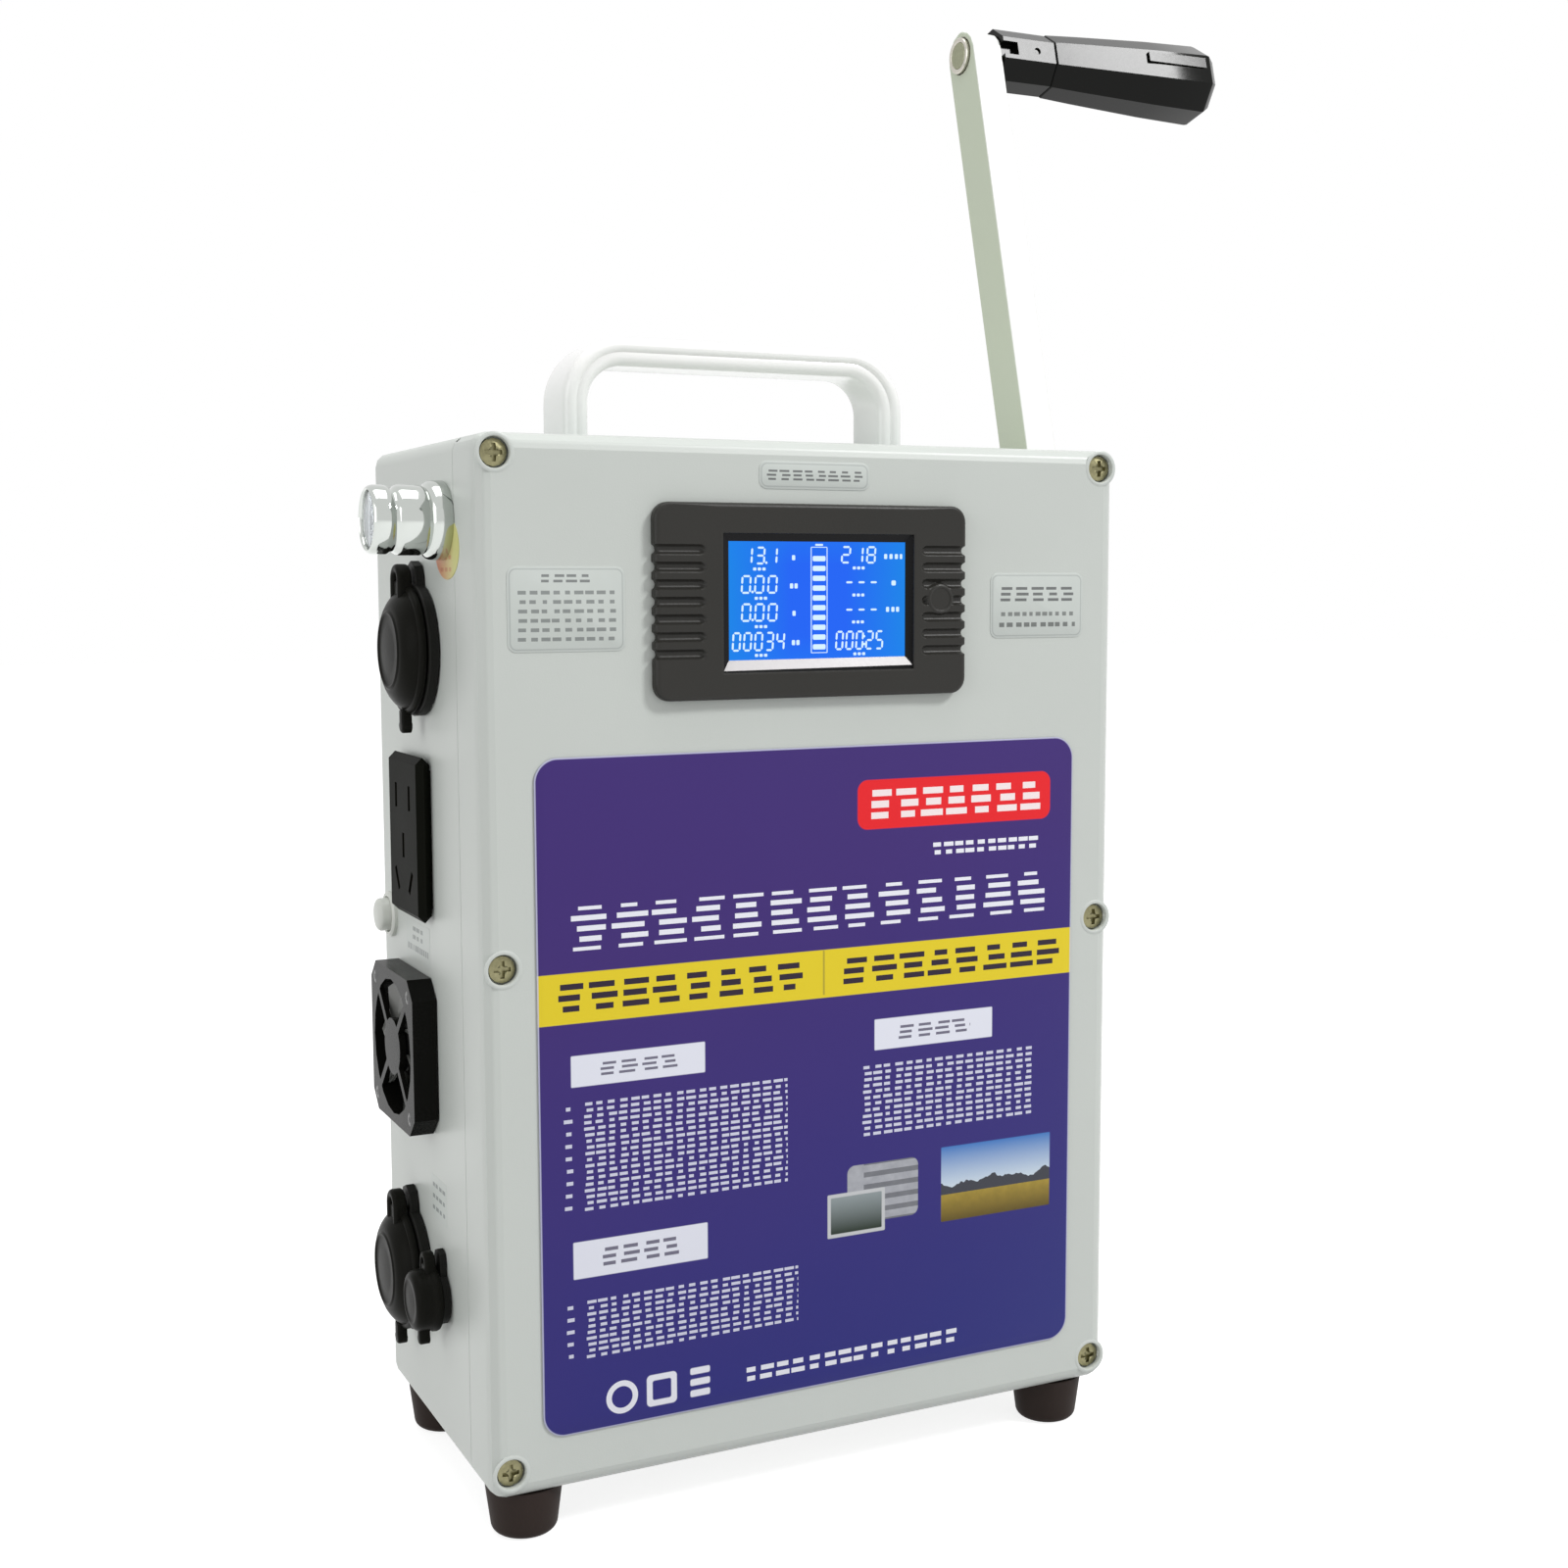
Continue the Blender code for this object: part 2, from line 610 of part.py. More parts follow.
def turned_mesh(profile, closed):
    """The half section that a Screw modifier spins: radius and height from the top down."""
    bm = bmesh.new()
    points = [bm.verts.new((radius, 0, height)) for radius, height in profile]
    for first, second in zip(points, points[1:]):
        bm.edges.new((first, second))
    if closed:
        bm.edges.new((points[-1], points[0]))
    data = bpy.data.meshes.new("section")
    bm.to_mesh(data)
    bm.free()
    return data


def spin(target, steps):
    """Turn a half section into a full round."""
    step = target.modifiers.new("turned", "SCREW")
    step.steps = steps
    step.render_steps = steps
    step.use_merge_vertices = True
    step.merge_threshold = WELD_DISTANCE
    step.use_smooth_shade = True


def turned(name, profile, look, place=ZERO, turn=ZERO, holder=None, closed=False, steps=ROUND_STEPS):
    """A turned sub-part about its own Z axis."""
    made = piece(name, turned_mesh(profile, closed), look, place, turn, holder)
    spin(made, steps)
    return made


def ring_profile(outer, inner, low, high):
    """Closed half section of a plain ring."""
    return [(inner, high), (outer, high), (outer, low), (inner, low)]


def arc(centre, radius, start, end, steps=CORNER_STEPS):
    """Points along an arc, angles in degrees."""
    angles = [math.radians(start + (end - start) * n / steps) for n in range(steps + 1)]
    return [(centre[0] + radius * math.cos(a), centre[1] + radius * math.sin(a)) for a in angles]


def rounded_rectangle(left, right, bottom, top, radius, steps=CORNER_STEPS):
    """Outline of a rectangle with rounded corners."""
    return (arc((right - radius, top - radius), radius, 0, 90, steps)
            + arc((left + radius, top - radius), radius, 90, 180, steps)
            + arc((left + radius, bottom + radius), radius, 180, 270, steps)
            + arc((right - radius, bottom + radius), radius, 270, 360, steps))


def circle(centre, radius, steps=ROUND_STEPS):
    """Outline of a circle."""
    return arc(centre, radius, 0, 360, steps)[:-1]


def plate_mesh(outlines, low, high):
    """A flat plate from an outline and its holes, between two heights along local Z."""
    curve = bpy.data.curves.new("outline", "CURVE")
    curve.dimensions = "2D"
    curve.fill_mode = "BOTH"
    curve.extrude = (high - low) / 2
    for outline in outlines:
        spline = curve.splines.new("POLY")
        spline.points.add(len(outline) - 1)
        for point, (x, y) in zip(spline.points, outline):
            point.co = (x, y, 0, 1)
        spline.use_cyclic_u = True
    drawn = bpy.data.objects.new("outline", curve)
    bpy.context.scene.collection.objects.link(drawn)
    bpy.context.view_layer.update()
    data = bpy.data.meshes.new_from_object(drawn.evaluated_get(bpy.context.evaluated_depsgraph_get()))
    bpy.data.objects.remove(drawn)
    bm = bmesh.new()
    bm.from_mesh(data)
    bmesh.ops.remove_doubles(bm, verts=bm.verts, dist=WELD_DISTANCE)
    bmesh.ops.translate(bm, vec=(0, 0, (low + high) / 2), verts=bm.verts)
    bmesh.ops.recalc_face_normals(bm, faces=bm.faces)
    return mesh_from(bm)


def set_origin(target, point):
    """Move a piece's origin to a point in its holder's frame, leaving its shape where it is."""
    turn = target.rotation_euler.to_matrix()
    shift = turn.inverted() @ (Vector(point) - target.location)
    target.data.transform(Matrix.Translation(-shift))
    target.location = point


def cover_screw_places():
    """Where the six cover screws stand on the front, as X and Z."""
    side = RIGHT_FACE - SCREW_INSET
    heights = (SCREW_FLOOR_INSET, SCREW_MID_HEIGHT, CASE_HEIGHT - SCREW_INSET)
    return [(x, z) for z in heights for x in (-side, side)]


def boss_box(x, z, front, back):
    """A square boss round a cover screw, run into the wall beside it."""
    low_x = max(x - BOSS_REACH, LEFT_INSIDE - BOND)
    high_x = min(x + BOSS_REACH, RIGHT_INSIDE + BOND)
    low_z = max(z - BOSS_REACH, CASE_WALL - BOND)
    high_z = min(z + BOSS_REACH, CASE_HEIGHT - CASE_WALL + BOND)
    return box_mesh((low_x, front, low_z), (high_x, back, high_z))


def case_blank(name):
    """The case's full outer block with its rounded edges."""
    mesh = box_mesh((LEFT_FACE, 0, 0), (RIGHT_FACE, CASE_DEPTH, CASE_HEIGHT))
    made = piece(name, mesh, "case_plastic")
    round_edges(made, CASE_EDGE, EDGE_STEPS + 1)
    return made


def case_slab(front, back):
    """A block wider than the case, between two depths, that cuts a shell to its length."""
    return tool(box_mesh((LEFT_FACE - OVERRUN, front, -OVERRUN),
                         (RIGHT_FACE + OVERRUN, back, CASE_HEIGHT + OVERRUN)))


def case_hollow(front, back):
    """The space inside the walls, between two depths."""
    return tool(box_mesh((LEFT_INSIDE, front, CASE_WALL), (RIGHT_INSIDE, back, CASE_HEIGHT - CASE_WALL)))


def standoff_places():
    """Where the boards' posts stand on the rear wall, as X and Z."""
    places = []
    for left, right, bottom, top in ((BOARD_LEFT, BOARD_LEFT + INVERTER_WIDTH, INVERTER_BOTTOM, INVERTER_TOP),
                                     (BOARD_LEFT, BOARD_LEFT + CONTROLLER_WIDTH, CONTROLLER_BOTTOM,
                                      CONTROLLER_TOP)):
        places += [(x, z) for x in (left + STANDOFF_INSET, right - STANDOFF_INSET)
                   for z in (bottom + STANDOFF_INSET, top - STANDOFF_INSET)]
    return places


def make_case_body():
    """Deep rear shell with screw bosses and board posts; wall holes are cut by the fittings."""
    body = case_blank("case_body")
    cut(body, case_slab(-OVERRUN, BODY_FRONT))
    cut(body, case_hollow(COVER_DEPTH - OVERRUN, REAR_INSIDE))
    for x, z in cover_screw_places():
        join(body, tool(boss_box(x, z, BODY_FRONT, BOSS_END)))
    for x, z in cover_screw_places():
        hole = rod_mesh((x, COVER_DEPTH - OVERRUN, z), (x, SCREW_TIP + GAP, z),
                        SCREW_SHANK_RADIUS + GAP, sides=SMALL_STEPS)
        cut(body, tool(hole))
    for x, z in standoff_places():
        post = rod_mesh((x, BOARD_FACE + GAP, z), (x, REAR_INSIDE + BOND, z), STANDOFF_RADIUS,
                        sides=SMALL_STEPS)
        join(body, tool(post))
    return body


def make_front_cover():
    """Shallow front shell with screw recesses, a seal groove and the meter's cut-out."""
    cover = case_blank("front_cover")
    cut(cover, case_slab(COVER_DEPTH, CASE_DEPTH + OVERRUN))
    cut(cover, case_hollow(CASE_WALL, COVER_DEPTH + OVERRUN))
    for x, z in cover_screw_places():
        join(cover, tool(boss_box(x, z, CASE_WALL - BOND, COVER_DEPTH)))
    for x, z in cover_screw_places():
        cut(cover, tool(rod_mesh((x, -OVERRUN, z), (x, COVER_DEPTH + OVERRUN, z),
                                 SCREW_SHANK_RADIUS + GAP, sides=SMALL_STEPS)))
        cut(cover, tool(rod_mesh((x, -OVERRUN, z), (x, SCREW_RECESS_DEPTH, z), SCREW_RECESS_RADIUS)))
    cut(cover, tool(seal_mesh(GAP, OVERRUN)))
    half_width = METER_BODY_WIDTH / 2 + GAP
    half_tall = METER_BODY_TALL / 2 + GAP
    cut(cover, tool(box_mesh((METER_X - half_width, -OVERRUN, METER_HEIGHT - half_tall),
                             (METER_X + half_width, CASE_WALL + OVERRUN, METER_HEIGHT + half_tall))))
    return cover


def seal_mesh(clearance, rise):
    """A square ring in the wall's thickness, from inside the groove to past the rim by rise."""
    outlines = []
    for inset in (SEAL_INSET - SEAL_WIDTH / 2 - clearance, SEAL_INSET + SEAL_WIDTH / 2 + clearance):
        outlines.append(rounded_rectangle(LEFT_FACE + inset, RIGHT_FACE - inset, inset,
                                          CASE_HEIGHT - inset, SEAL_CORNER))
    mesh = plate_mesh(outlines, -COVER_DEPTH - rise, -COVER_DEPTH + SEAL_DEPTH + clearance)
    mesh.transform(Matrix.Rotation(math.pi / 2, 4, "X"))
    return mesh


def cut_cross(target, place, turn, holder, height):
    """Sink a cross recess into a screw head whose top is at the given height."""
    for long_x, long_y in ((CROSS_LENGTH, CROSS_WIDTH), (CROSS_WIDTH, CROSS_LENGTH)):
        slot = box_mesh((-long_x / 2, -long_y / 2, height - CROSS_DEPTH),
                        (long_x / 2, long_y / 2, height + OVERRUN))
        cut(target, tool(slot, place, turn, holder))


def make_cover_screws():
    """Six domed cross-head screws, heads sunk in the cover's recesses."""
    top = SCREW_HEAD_HEIGHT
    profile = [(0, top), (SCREW_HEAD_RADIUS / 2, top - SCREW_DOME / 4),
               (SCREW_HEAD_RADIUS, top - SCREW_DOME), (SCREW_HEAD_RADIUS, 0),
               (SCREW_SHANK_RADIUS, 0), (SCREW_SHANK_RADIUS, -SCREW_SHANK_LENGTH),
               (0, -SCREW_SHANK_LENGTH)]
    for number, (x, z) in enumerate(cover_screw_places(), start=1):
        place = (x, SCREW_SEAT, z)
        screw = turned(f"cover_screw_{number}", profile, "zinc", place, FRONTWARD, steps=SMALL_STEPS)
        cut_cross(screw, place, FRONTWARD, None, top)


def make_feet():
    """Four tapered rubber feet under the case."""
    profile = [(0, 0), (FOOT_TOP_RADIUS, 0), (FOOT_BOTTOM_RADIUS, -FOOT_HEIGHT + FOOT_ROUNDING),
               (FOOT_BOTTOM_RADIUS - FOOT_ROUNDING, -FOOT_HEIGHT), (0, -FOOT_HEIGHT)]
    side = RIGHT_FACE - FOOT_SIDE_INSET
    places = [(x, y) for y in (FOOT_END_INSET, CASE_DEPTH - FOOT_END_INSET) for x in (-side, side)]
    for number, (x, y) in enumerate(places, start=1):
        turned(f"foot_{number}", profile, "black_rubber", (x, y, -GAP), steps=SMALL_STEPS + EDGE_STEPS)


def handle_outline():
    """The bow's side view: up the left leg, along the bar, down the right leg and back inside."""
    half = HANDLE_THICKNESS / 2
    left, right = HANDLE_LEFT - half, HANDLE_RIGHT + half
    bottom, top = CASE_HEIGHT + GAP, CASE_HEIGHT + HANDLE_RISE
    inner = HANDLE_BEND - HANDLE_THICKNESS
    outside = (arc((left + HANDLE_BEND, top - HANDLE_BEND), HANDLE_BEND, 180, 90)
               + arc((right - HANDLE_BEND, top - HANDLE_BEND), HANDLE_BEND, 90, 0))
    inside = (arc((right - HANDLE_BEND, top - HANDLE_BEND), inner, 0, 90)
              + arc((left + HANDLE_BEND, top - HANDLE_BEND), inner, 90, 180))
    return ([(left, bottom)] + outside + [(right, bottom), (right - HANDLE_THICKNESS, bottom)] + inside
            + [(left + HANDLE_THICKNESS, bottom)])


def make_handle(body):
    """Flat aluminium bow on top of the case, held by two screws from inside."""
    mesh = plate_mesh([handle_outline()], -HANDLE_WIDTH / 2, HANDLE_WIDTH / 2)
    handle = piece("carry_handle", mesh, "aluminium", (0, HANDLE_DEPTH, 0), FRONTWARD)
    round_edges(handle, HANDLE_ROUNDING, EDGE_STEPS + 1)
    seat = CASE_HEIGHT - CASE_WALL - GAP
    tip = CASE_HEIGHT + HANDLE_SCREW_GRIP
    shank = HANDLE_SCREW_RADIUS
    profile = [(0, tip), (shank, tip), (shank, seat), (HANDLE_SCREW_HEAD, seat),
               (HANDLE_SCREW_HEAD, seat - HANDLE_SCREW_HEAD_HEIGHT), (0, seat - HANDLE_SCREW_HEAD_HEIGHT)]
    for number, x in enumerate((HANDLE_LEFT, HANDLE_RIGHT), start=1):
        turned(f"handle_screw_{number}", profile, "zinc", (x, HANDLE_DEPTH, 0), steps=SMALL_STEPS)
        hole = tool(rod_mesh((x, HANDLE_DEPTH, seat - OVERRUN), (x, HANDLE_DEPTH, tip + GAP),
                             shank + GAP, sides=SMALL_STEPS))
        cut(handle, hole)
        cut(body, hole)


def make_meter():
    """Panel meter: bezel, rear body, screen and one key."""
    left, right = METER_X - METER_WIDTH / 2, METER_X + METER_WIDTH / 2
    bottom, top = METER_HEIGHT - METER_TALL / 2, METER_HEIGHT + METER_TALL / 2
    outline = rounded_rectangle(left, right, bottom, top, METER_CORNER)
    bezel = piece("meter_bezel", plate_mesh([outline], GAP, METER_PROUD), "black_plastic", ZERO, FRONTWARD)
    round_edges(bezel, METER_EDGE)
    cut(bezel, tool(box_mesh((WINDOW_LEFT, METER_FRONT - OVERRUN, WINDOW_BOTTOM),
                             (WINDOW_RIGHT, OVERRUN, WINDOW_TOP))))
    for side_left, side_right in ((left - OVERRUN, left + GROOVE_LENGTH),
                                  (right - GROOVE_LENGTH, right + OVERRUN)):
        for n in range(GROOVE_COUNT):
            z = METER_HEIGHT + (n - (GROOVE_COUNT - 1) / 2) * GROOVE_PITCH
            y = METER_FRONT - GROOVE_RADIUS + GROOVE_DEPTH
            cut(bezel, tool(rod_mesh((side_left, y, z), (side_right, y, z), GROOVE_RADIUS,
                                     sides=GRIP_SIDES, roll=math.pi / GRIP_SIDES)))
    key_hole = tool(rod_mesh((METER_KEY_X, METER_FRONT - OVERRUN, METER_KEY_HEIGHT),
                             (METER_KEY_X, METER_KEY_TAIL + METER_KEY_TRAVEL + GAP, METER_KEY_HEIGHT),
                             METER_KEY_RADIUS + GAP, sides=SMALL_STEPS))
    cut(bezel, key_hole)
    body = piece("meter_body",
                 box_mesh((METER_X - METER_BODY_WIDTH / 2, 0, METER_HEIGHT - METER_BODY_TALL / 2),
                          (METER_X + METER_BODY_WIDTH / 2, METER_BODY_DEPTH,
                           METER_HEIGHT + METER_BODY_TALL / 2)), "black_plastic")
    cut(body, key_hole)
    piece("meter_screen", box_mesh((WINDOW_LEFT + GAP, -GAP - SCREEN_THICKNESS, WINDOW_BOTTOM + GAP),
                                   (WINDOW_RIGHT - GAP, -GAP, WINDOW_TOP - GAP)), "screen")
    key = piece("meter_key", rod_mesh((METER_KEY_X, METER_KEY_FRONT, METER_KEY_HEIGHT),
                                      (METER_KEY_X, METER_KEY_TAIL, METER_KEY_HEIGHT),
                                      METER_KEY_RADIUS, sides=SMALL_STEPS), "black_plastic")
    set_origin(key, (METER_KEY_X, METER_KEY_FRONT, METER_KEY_HEIGHT))


def make_front_label():
    """Printed sheet stuck on the front cover."""
    outline = rounded_rectangle(-LABEL_WIDTH / 2, LABEL_WIDTH / 2, LABEL_BOTTOM, LABEL_TOP, LABEL_CORNER)
    piece("front_label", plate_mesh([outline], GAP, GAP + LABEL_THICKNESS), "label_print", ZERO, FRONTWARD)


def left_fitting(name, depth, height):
    """A frame on the left wall: local Z points out of the wall, local X up."""
    return empty(name, (LEFT_FACE, depth, height), LEFTWARD, CASE_FRAME)


def wall_hole(body, frame, radius):
    """Cut a round hole through the wall behind a fitting."""
    cut(body, tool(rod_mesh((0, 0, -CASE_WALL - OVERRUN), (0, 0, OVERRUN), radius), holder=frame))


def make_nut(name, frame, inner, width, thickness, look):
    """Ring nut behind the wall."""
    high = -CASE_WALL - GAP
    profile = ring_profile(inner + GAP + width, inner + GAP, high - thickness, high)
    return turned(name, profile, look, holder=frame, closed=True)


def make_lamp(body):
    """Chrome work lamp with a reflector cup and a lens, held by a nut."""
    frame = left_fitting("lamp_frame", LAMP_DEPTH, LAMP_HEIGHT)
    seat_radius = LAMP_CUP_RADIUS + LENS_SEAT_LIP
    ring_low = LAMP_RING_HEIGHT - LAMP_STEP
    floor = LAMP_PROUD - LAMP_CUP_DEPTH
    profile = [(0, floor), (LAMP_CUP_FLOOR_RADIUS, floor), (LAMP_CUP_RADIUS, LAMP_PROUD - LENS_SEAT_DEPTH),
               (seat_radius, LAMP_PROUD - LENS_SEAT_DEPTH), (seat_radius, LAMP_PROUD),
               (LAMP_END_RADIUS, LAMP_PROUD), (LAMP_RING_RADIUS, LAMP_RING_HEIGHT),
               (LAMP_WAIST_RADIUS, ring_low), (LAMP_WAIST_RADIUS, LAMP_FLANGE_HEIGHT + LAMP_STEP),
               (LAMP_FLANGE_RADIUS, LAMP_FLANGE_HEIGHT), (LAMP_FLANGE_RADIUS, GAP),
               (LAMP_NECK_RADIUS, GAP), (LAMP_NECK_RADIUS, -LAMP_NECK_LENGTH), (0, -LAMP_NECK_LENGTH)]
    turned("lamp_housing", profile, "chrome", holder=frame)
    base = LAMP_PROUD - LENS_SEAT_DEPTH + GAP
    rim = base + LENS_THICKNESS - LENS_DOME
    lens = [(0, base + LENS_THICKNESS), (seat_radius / 2, base + LENS_THICKNESS - LENS_DOME / 4),
            (seat_radius - GAP, rim), (seat_radius - GAP, base), (0, base)]
    turned("lamp_lens", lens, "lens", holder=frame)
    make_nut("lamp_nut", frame, LAMP_NECK_RADIUS, LAMP_NUT_WIDTH, NUT_THICKNESS, "brass")
    wall_hole(body, frame, LAMP_NECK_RADIUS + GAP)


def ear_outline(root, reach, width):
    """A tongue from the root height upward with a round end."""
    half = width / 2
    tip = arc((reach - half, 0), half, 90, -90)
    return [(root, half)] + tip + [(root, -half)]


def make_round_socket(name, body, frame, length):
    """Round socket: flange with an ear for its cap, and a threaded body through the wall."""
    flange, top = SOCKET_FLANGE_RADIUS, SOCKET_FLANGE_HEIGHT
    profile = [(0, top), (flange - GAP, top), (flange, top - GAP), (flange, GAP), (SOCKET_BODY_RADIUS, GAP),
               (SOCKET_BODY_RADIUS, -length), (0, -length)]
    socket = turned(name, profile, "black_plastic", holder=frame, steps=LARGE_STEPS)
    ear = plate_mesh([ear_outline(flange - EAR_REACH, flange + EAR_REACH, EAR_WIDTH)], GAP, top - GAP)
    join(socket, tool(ear, holder=frame))
    wall_hole(body, frame, SOCKET_BODY_RADIUS + GAP)
    return socket


def make_cap(name, frame, base, edge, rim, top, plug, ear, tab):
    """Rubber cap that swings up on its ear: a low cone with a plug behind it and a pull tab below.

    base is the height it lies on and edge the radius that the ear stands clear of; rim is radius and
    height, top is radius and height, plug is radius, tip radius and depth, ear is width, reach,
    thickness and hole radius, tab is width, reach and thickness.
    """
    low = base + GAP
    reach = edge + ear[1]
    hinge_place = Vector((reach - HINGE_INSET, 0, low + HINGE_RISE))
    hinge = empty(f"{name}_hinge", hinge_place, ZERO, frame)
    profile = [(0, low + top[1]), (top[0], low + top[1]), (rim[0], low + rim[1]), (rim[0], low),
               (plug[0], low), (plug[1], low - plug[2]), (0, low - plug[2])]
    cap = turned(name, profile, "black_rubber", -hinge_place, holder=hinge)
    ear_mesh = plate_mesh([ear_outline(rim[0] - ear[1], reach, ear[0])], low + GAP, low + GAP + ear[2])
    join(cap, tool(ear_mesh, holder=frame))
    hole_place = reach - ear[0] / 2
    cut(cap, tool(rod_mesh((hole_place, 0, low - OVERRUN), (hole_place, 0, low + ear[2] + OVERRUN), ear[3],
                           sides=SMALL_STEPS), holder=frame))
    tab_mesh = plate_mesh([[(-x, -y) for x, y in ear_outline(rim[0] - tab[1], rim[0] + tab[1], tab[0])]],
                          low + GAP, low + GAP + tab[2])
    join(cap, tool(tab_mesh, holder=frame))


LARGE_CAP = {"base": SOCKET_FLANGE_HEIGHT, "edge": SOCKET_FLANGE_RADIUS,
             "rim": (CAP_RIM_RADIUS, CAP_RIM_HEIGHT), "top": (CAP_TOP_RADIUS, CAP_THICKNESS),
             "plug": (CAP_PLUG_RADIUS, CAP_PLUG_TIP_RADIUS, CAP_PLUG_DEPTH),
             "ear": (EAR_WIDTH, EAR_REACH, EAR_THICKNESS, EAR_HOLE_RADIUS),
             "tab": (TAB_WIDTH, TAB_REACH, TAB_THICKNESS)}


def make_dc_socket(body):
    """Round 12 volt socket with a deep bore."""
    frame = left_fitting("dc_socket_frame", DC_SOCKET_DEPTH, DC_SOCKET_HEIGHT)
    socket = make_round_socket("dc_socket", body, frame, DC_SOCKET_LENGTH)
    bore = rod_mesh((0, 0, -DC_SOCKET_LENGTH + SOCKET_FLOOR), (0, 0, SOCKET_FLANGE_HEIGHT + OVERRUN),
                    SOCKET_BORE_RADIUS)
    cut(socket, tool(bore, holder=frame))
    make_nut("dc_socket_nut", frame, SOCKET_BODY_RADIUS, NUT_WIDTH, NUT_THICKNESS, "black_plastic")
    make_cap("dc_socket_cap", frame, **LARGE_CAP)


def make_usb_socket(body):
    """Round socket with two USB ports in a sunk face."""
    frame = left_fitting("usb_socket_frame", USB_SOCKET_DEPTH, USB_SOCKET_HEIGHT)
    socket = make_round_socket("usb_socket", body, frame, USB_SOCKET_LENGTH)
    face = SOCKET_FLANGE_HEIGHT - USB_FACE_DEPTH
    cut(socket, tool(rod_mesh((0, 0, face), (0, 0, SOCKET_FLANGE_HEIGHT + OVERRUN), SOCKET_BORE_RADIUS),
                     holder=frame))
    for x in (-USB_PORT_SPACING / 2, USB_PORT_SPACING / 2):
        for low_x, high_x in ((x - USB_PORT_TALL / 2, x - USB_TONGUE_TALL / 2),
                              (x + USB_TONGUE_TALL / 2, x + USB_PORT_TALL / 2)):
            cut(socket, tool(box_mesh((low_x, -USB_PORT_WIDTH / 2, face - USB_PORT_DEPTH),
                                      (high_x, USB_PORT_WIDTH / 2, face + OVERRUN)), holder=frame))
    make_nut("usb_socket_nut", frame, SOCKET_BODY_RADIUS, NUT_WIDTH, NUT_THICKNESS, "black_plastic")
    make_cap("usb_socket_cap", frame, **LARGE_CAP)


def make_charge_jack(body):
    """Barrel charging jack with its own small cap."""
    frame = left_fitting("charge_jack_frame", JACK_DEPTH, JACK_HEIGHT)
    top = JACK_FLANGE_HEIGHT
    floor = top - JACK_BORE_DEPTH
    pin_top = top - JACK_PIN_SINK
    profile = [(0, pin_top), (JACK_PIN_RADIUS, pin_top - JACK_PIN_POINT),
               (JACK_PIN_RADIUS, floor), (JACK_BORE_RADIUS, floor),
               (JACK_BORE_RADIUS, top), (JACK_FLANGE_RADIUS, top), (JACK_FLANGE_RADIUS, GAP),
               (JACK_BODY_RADIUS, GAP), (JACK_BODY_RADIUS, -JACK_BODY_LENGTH), (0, -JACK_BODY_LENGTH)]
    jack = turned("charge_jack", profile, "black_plastic", holder=frame, steps=SMALL_STEPS)
    reach = JACK_CAP_RADIUS + JACK_EAR_REACH
    ear = plate_mesh([ear_outline(JACK_BODY_RADIUS, reach, JACK_EAR_WIDTH)], GAP, top - GAP)
    join(jack, tool(ear, holder=frame))
    make_cap("charge_jack_cap", frame, base=top, edge=JACK_CAP_RADIUS,
             rim=(JACK_CAP_RADIUS, JACK_CAP_THICKNESS - JACK_CAP_EDGE),
             top=(JACK_CAP_TOP_RADIUS, JACK_CAP_THICKNESS),
             plug=(JACK_PLUG_RADIUS, JACK_PLUG_TIP_RADIUS, JACK_PLUG_DEPTH),
             ear=(JACK_EAR_WIDTH, JACK_EAR_REACH, JACK_EAR_THICKNESS, JACK_EAR_HOLE_RADIUS),
             tab=(JACK_TAB_WIDTH, JACK_TAB_REACH, TAB_THICKNESS))
    wall_hole(body, frame, JACK_BODY_RADIUS + GAP)


def make_outlet(body):
    """Mains outlet block with a two-pin pair above and a slanted three-pin set below."""
    frame = left_fitting("outlet_frame", OUTLET_DEPTH, OUTLET_HEIGHT)
    plate = box_mesh((-OUTLET_TALL / 2, -OUTLET_WIDTH / 2, GAP),
                     (OUTLET_TALL / 2, OUTLET_WIDTH / 2, OUTLET_PROUD))
    outlet = piece("ac_outlet", plate, "black_plastic", holder=frame)
    round_edges(outlet, OUTLET_CHAMFER, 1)
    half_tall, half_width = OUTLET_BODY_TALL / 2, OUTLET_BODY_WIDTH / 2
    join(outlet, tool(box_mesh((-half_tall, -half_width, -OUTLET_BODY_LENGTH),
                               (half_tall, half_width, OUTLET_PROUD / 2)), holder=frame))
    cut(body, tool(box_mesh((-half_tall - GAP, -half_width - GAP, -CASE_WALL - OVERRUN),
                            (half_tall + GAP, half_width + GAP, OVERRUN)), holder=frame))
    slots = [(OUTLET_PAIR_HEIGHT, side * OUTLET_PAIR_SPACING / 2, 0) for side in (-1, 1)]
    slots += [(OUTLET_TRIO_HEIGHT, side * OUTLET_TRIO_SPACING / 2, side * OUTLET_SLOT_TILT)
              for side in (-1, 1)]
    slots.append((OUTLET_EARTH_HEIGHT, 0, 0))
    for up, across, tilt in slots:
        slot = box_mesh((-OUTLET_SLOT_LENGTH / 2, -OUTLET_SLOT_WIDTH / 2, OUTLET_PROUD - OUTLET_SLOT_DEPTH),
                        (OUTLET_SLOT_LENGTH / 2, OUTLET_SLOT_WIDTH / 2, OUTLET_PROUD + OVERRUN))
        cut(outlet, tool(slot, (up, across, 0), (0, 0, math.radians(tilt)), frame))


